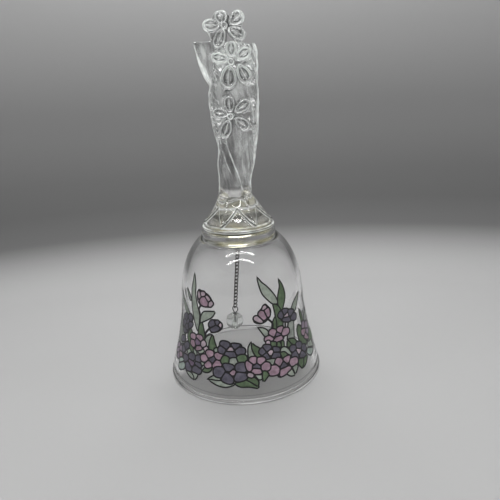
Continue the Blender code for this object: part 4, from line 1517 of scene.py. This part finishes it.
def backdrop():
    """A pale floor that sweeps up into a wall all round, with painted shade and light on the wall: darkest
    just above the sweep, lighter towards the top.
    """
    centre, radius, sweep, top = 0.35, 0.6, 0.13, 0.5
    profile = [(0, 0), (0.02, 0), (radius - sweep, 0)]
    for n in range(1, 25):
        angle = n / 24 * math.pi / 2
        profile.append((radius - sweep + sweep * math.sin(angle), sweep - sweep * math.cos(angle)))
    profile.append((radius, top))
    floor = lathe("studio_sweep", profile, 128, Matrix.Translation((0, -centre, 0)))
    made, output = new_material("studio_paper")
    height = between(made, object_height(made), 0.0, 1.0, 0.0, 0.4)
    # Painted shade and light: the wall's grey is set by height, not by the lamps
    fade = ((0.0, 0.41), (0.02, 0.33), (0.06, 0.12), (0.11, 0.1), (0.17, 0.115), (0.32, 0.19))
    fade += ((0.6, 0.325), (1.0, 0.3))
    painted_wall_shade = ramp(made, height, [(share, grey(value)) for share, value in fade])
    join(made, principled(made, {"Roughness": 0.9}, painted_wall_shade), output.inputs["Surface"])
    floor.data.materials.append(made)


def lamp(name, place, aim, width, height, power, in_gloss=False, through_glass=False):
    """A soft area light aimed at a point, seen in gloss and through glass only where asked."""
    data = bpy.data.lights.new(name, "AREA")
    data.shape = "RECTANGLE"
    data.size = width
    data.size_y = height
    data.energy = power
    holder = placed(name, data)
    turn = (Vector(aim) - Vector(place)).to_track_quat("-Z", "Y")
    holder.matrix_world = Matrix.Translation(place) @ turn.to_matrix().to_4x4()
    holder.visible_camera = False
    holder.visible_glossy = in_gloss
    holder.visible_transmission = through_glass


def tube_lamp(name, middle, half, drop, width):
    """A bowed strip of light above the camera, whose reflection lies across the bell's shoulder."""
    points = []
    faces = []
    aim = Vector((0, -0.02, 0.064))
    for n in range(25):
        share = n / 12 - 1
        place = Vector(middle) + Vector((share * half, 0, -drop * share * share))
        away = (aim - place).normalized()
        edge = away.cross(Vector((1, 0, 0))).normalized() * width
        points += [tuple(place - edge), tuple(place + edge)]
        if n:
            faces.append((2 * n - 2, 2 * n - 1, 2 * n + 1, 2 * n))
    strip = object_of(name, points, faces)
    made, output = new_material(f"{name}_light")
    glow = add_node(made, "ShaderNodeEmission", {"Strength": TUBE_GLOW})
    join(made, glow.outputs["Emission"], output.inputs["Surface"])
    strip.data.materials.append(made)
    strip.visible_camera = False


def add_studio():
    """The floor, the lights and the dim surroundings."""
    backdrop()
    lamp("overhead", (0, -0.05, 0.55), (0, 0, 0), 0.5, 0.5, 0.58, True, True)
    lamp("floor_wash", (0, 0.1, 0.52), (0, 0.1, 0), 0.25, 0.25, 0.6, through_glass=True)
    lamp("left_panel", (-0.5, -0.1, 0.28), (0, 0, 0.1), 0.12, 0.4, 0.4)
    lamp("right_panel", (0.5, -0.1, 0.28), (0, 0, 0.1), 0.12, 0.4, 0.4)
    lamp("front_fill", (0, -0.88, 0.3), (0, 0, 0.1), 0.5, 0.35, 2.6)
    lamp("back_light", (0, 0.17, 0.42), (0, 0, 0.13), 0.3, 0.14, 0.7, through_glass=True)
    tube_lamp("upper_tube", (0, -0.227, 0.498), 0.22, 0.054, 0.008)
    tube_lamp("lower_tube", (0, -0.334, 0.435), 0.21, 0.071, 0.008)
    world = bpy.data.worlds.new("studio_world")
    world.use_nodes = True
    back = world.node_tree.nodes["Background"]
    back.inputs["Color"].default_value = grey(0.1)
    back.inputs["Strength"].default_value = 1.0
    bpy.context.scene.world = world


def add_camera():
    """The camera, a little above the bell and turned slightly."""
    data = bpy.data.cameras.new("camera")
    data.lens = CAMERA_LENS
    data.sensor_width = 36.0
    data.clip_start = 0.01
    camera = placed("camera", data)
    pan, tilt, roll = (math.radians(angle) for angle in CAMERA_ANGLES)
    camera.matrix_world = (
        Matrix.Translation(CAMERA_PLACE)
        @ Matrix.Rotation(pan, 4, "Z")
        @ Matrix.Rotation(math.pi / 2 + tilt, 4, "X")
        @ Matrix.Rotation(roll, 4, "Z")
    )
    bpy.context.scene.camera = camera


def main():
    """The part's pieces, the studio and the camera."""
    bell = lathe("fine_bell", bell_profile(), BELL_STEPS)
    dress(bell, clear_glass(), "bell", "clear_glass", "glass_bell")
    add_enamel()
    add_handle()
    glue = adhesive()
    add_adhesive(glue)
    steel = dark_steel()
    add_hook(steel)
    add_links(steel)
    add_clapper(steel)
    add_studio()
    add_camera()


main()
bpy.context.scene.view_settings.view_transform = "Standard"
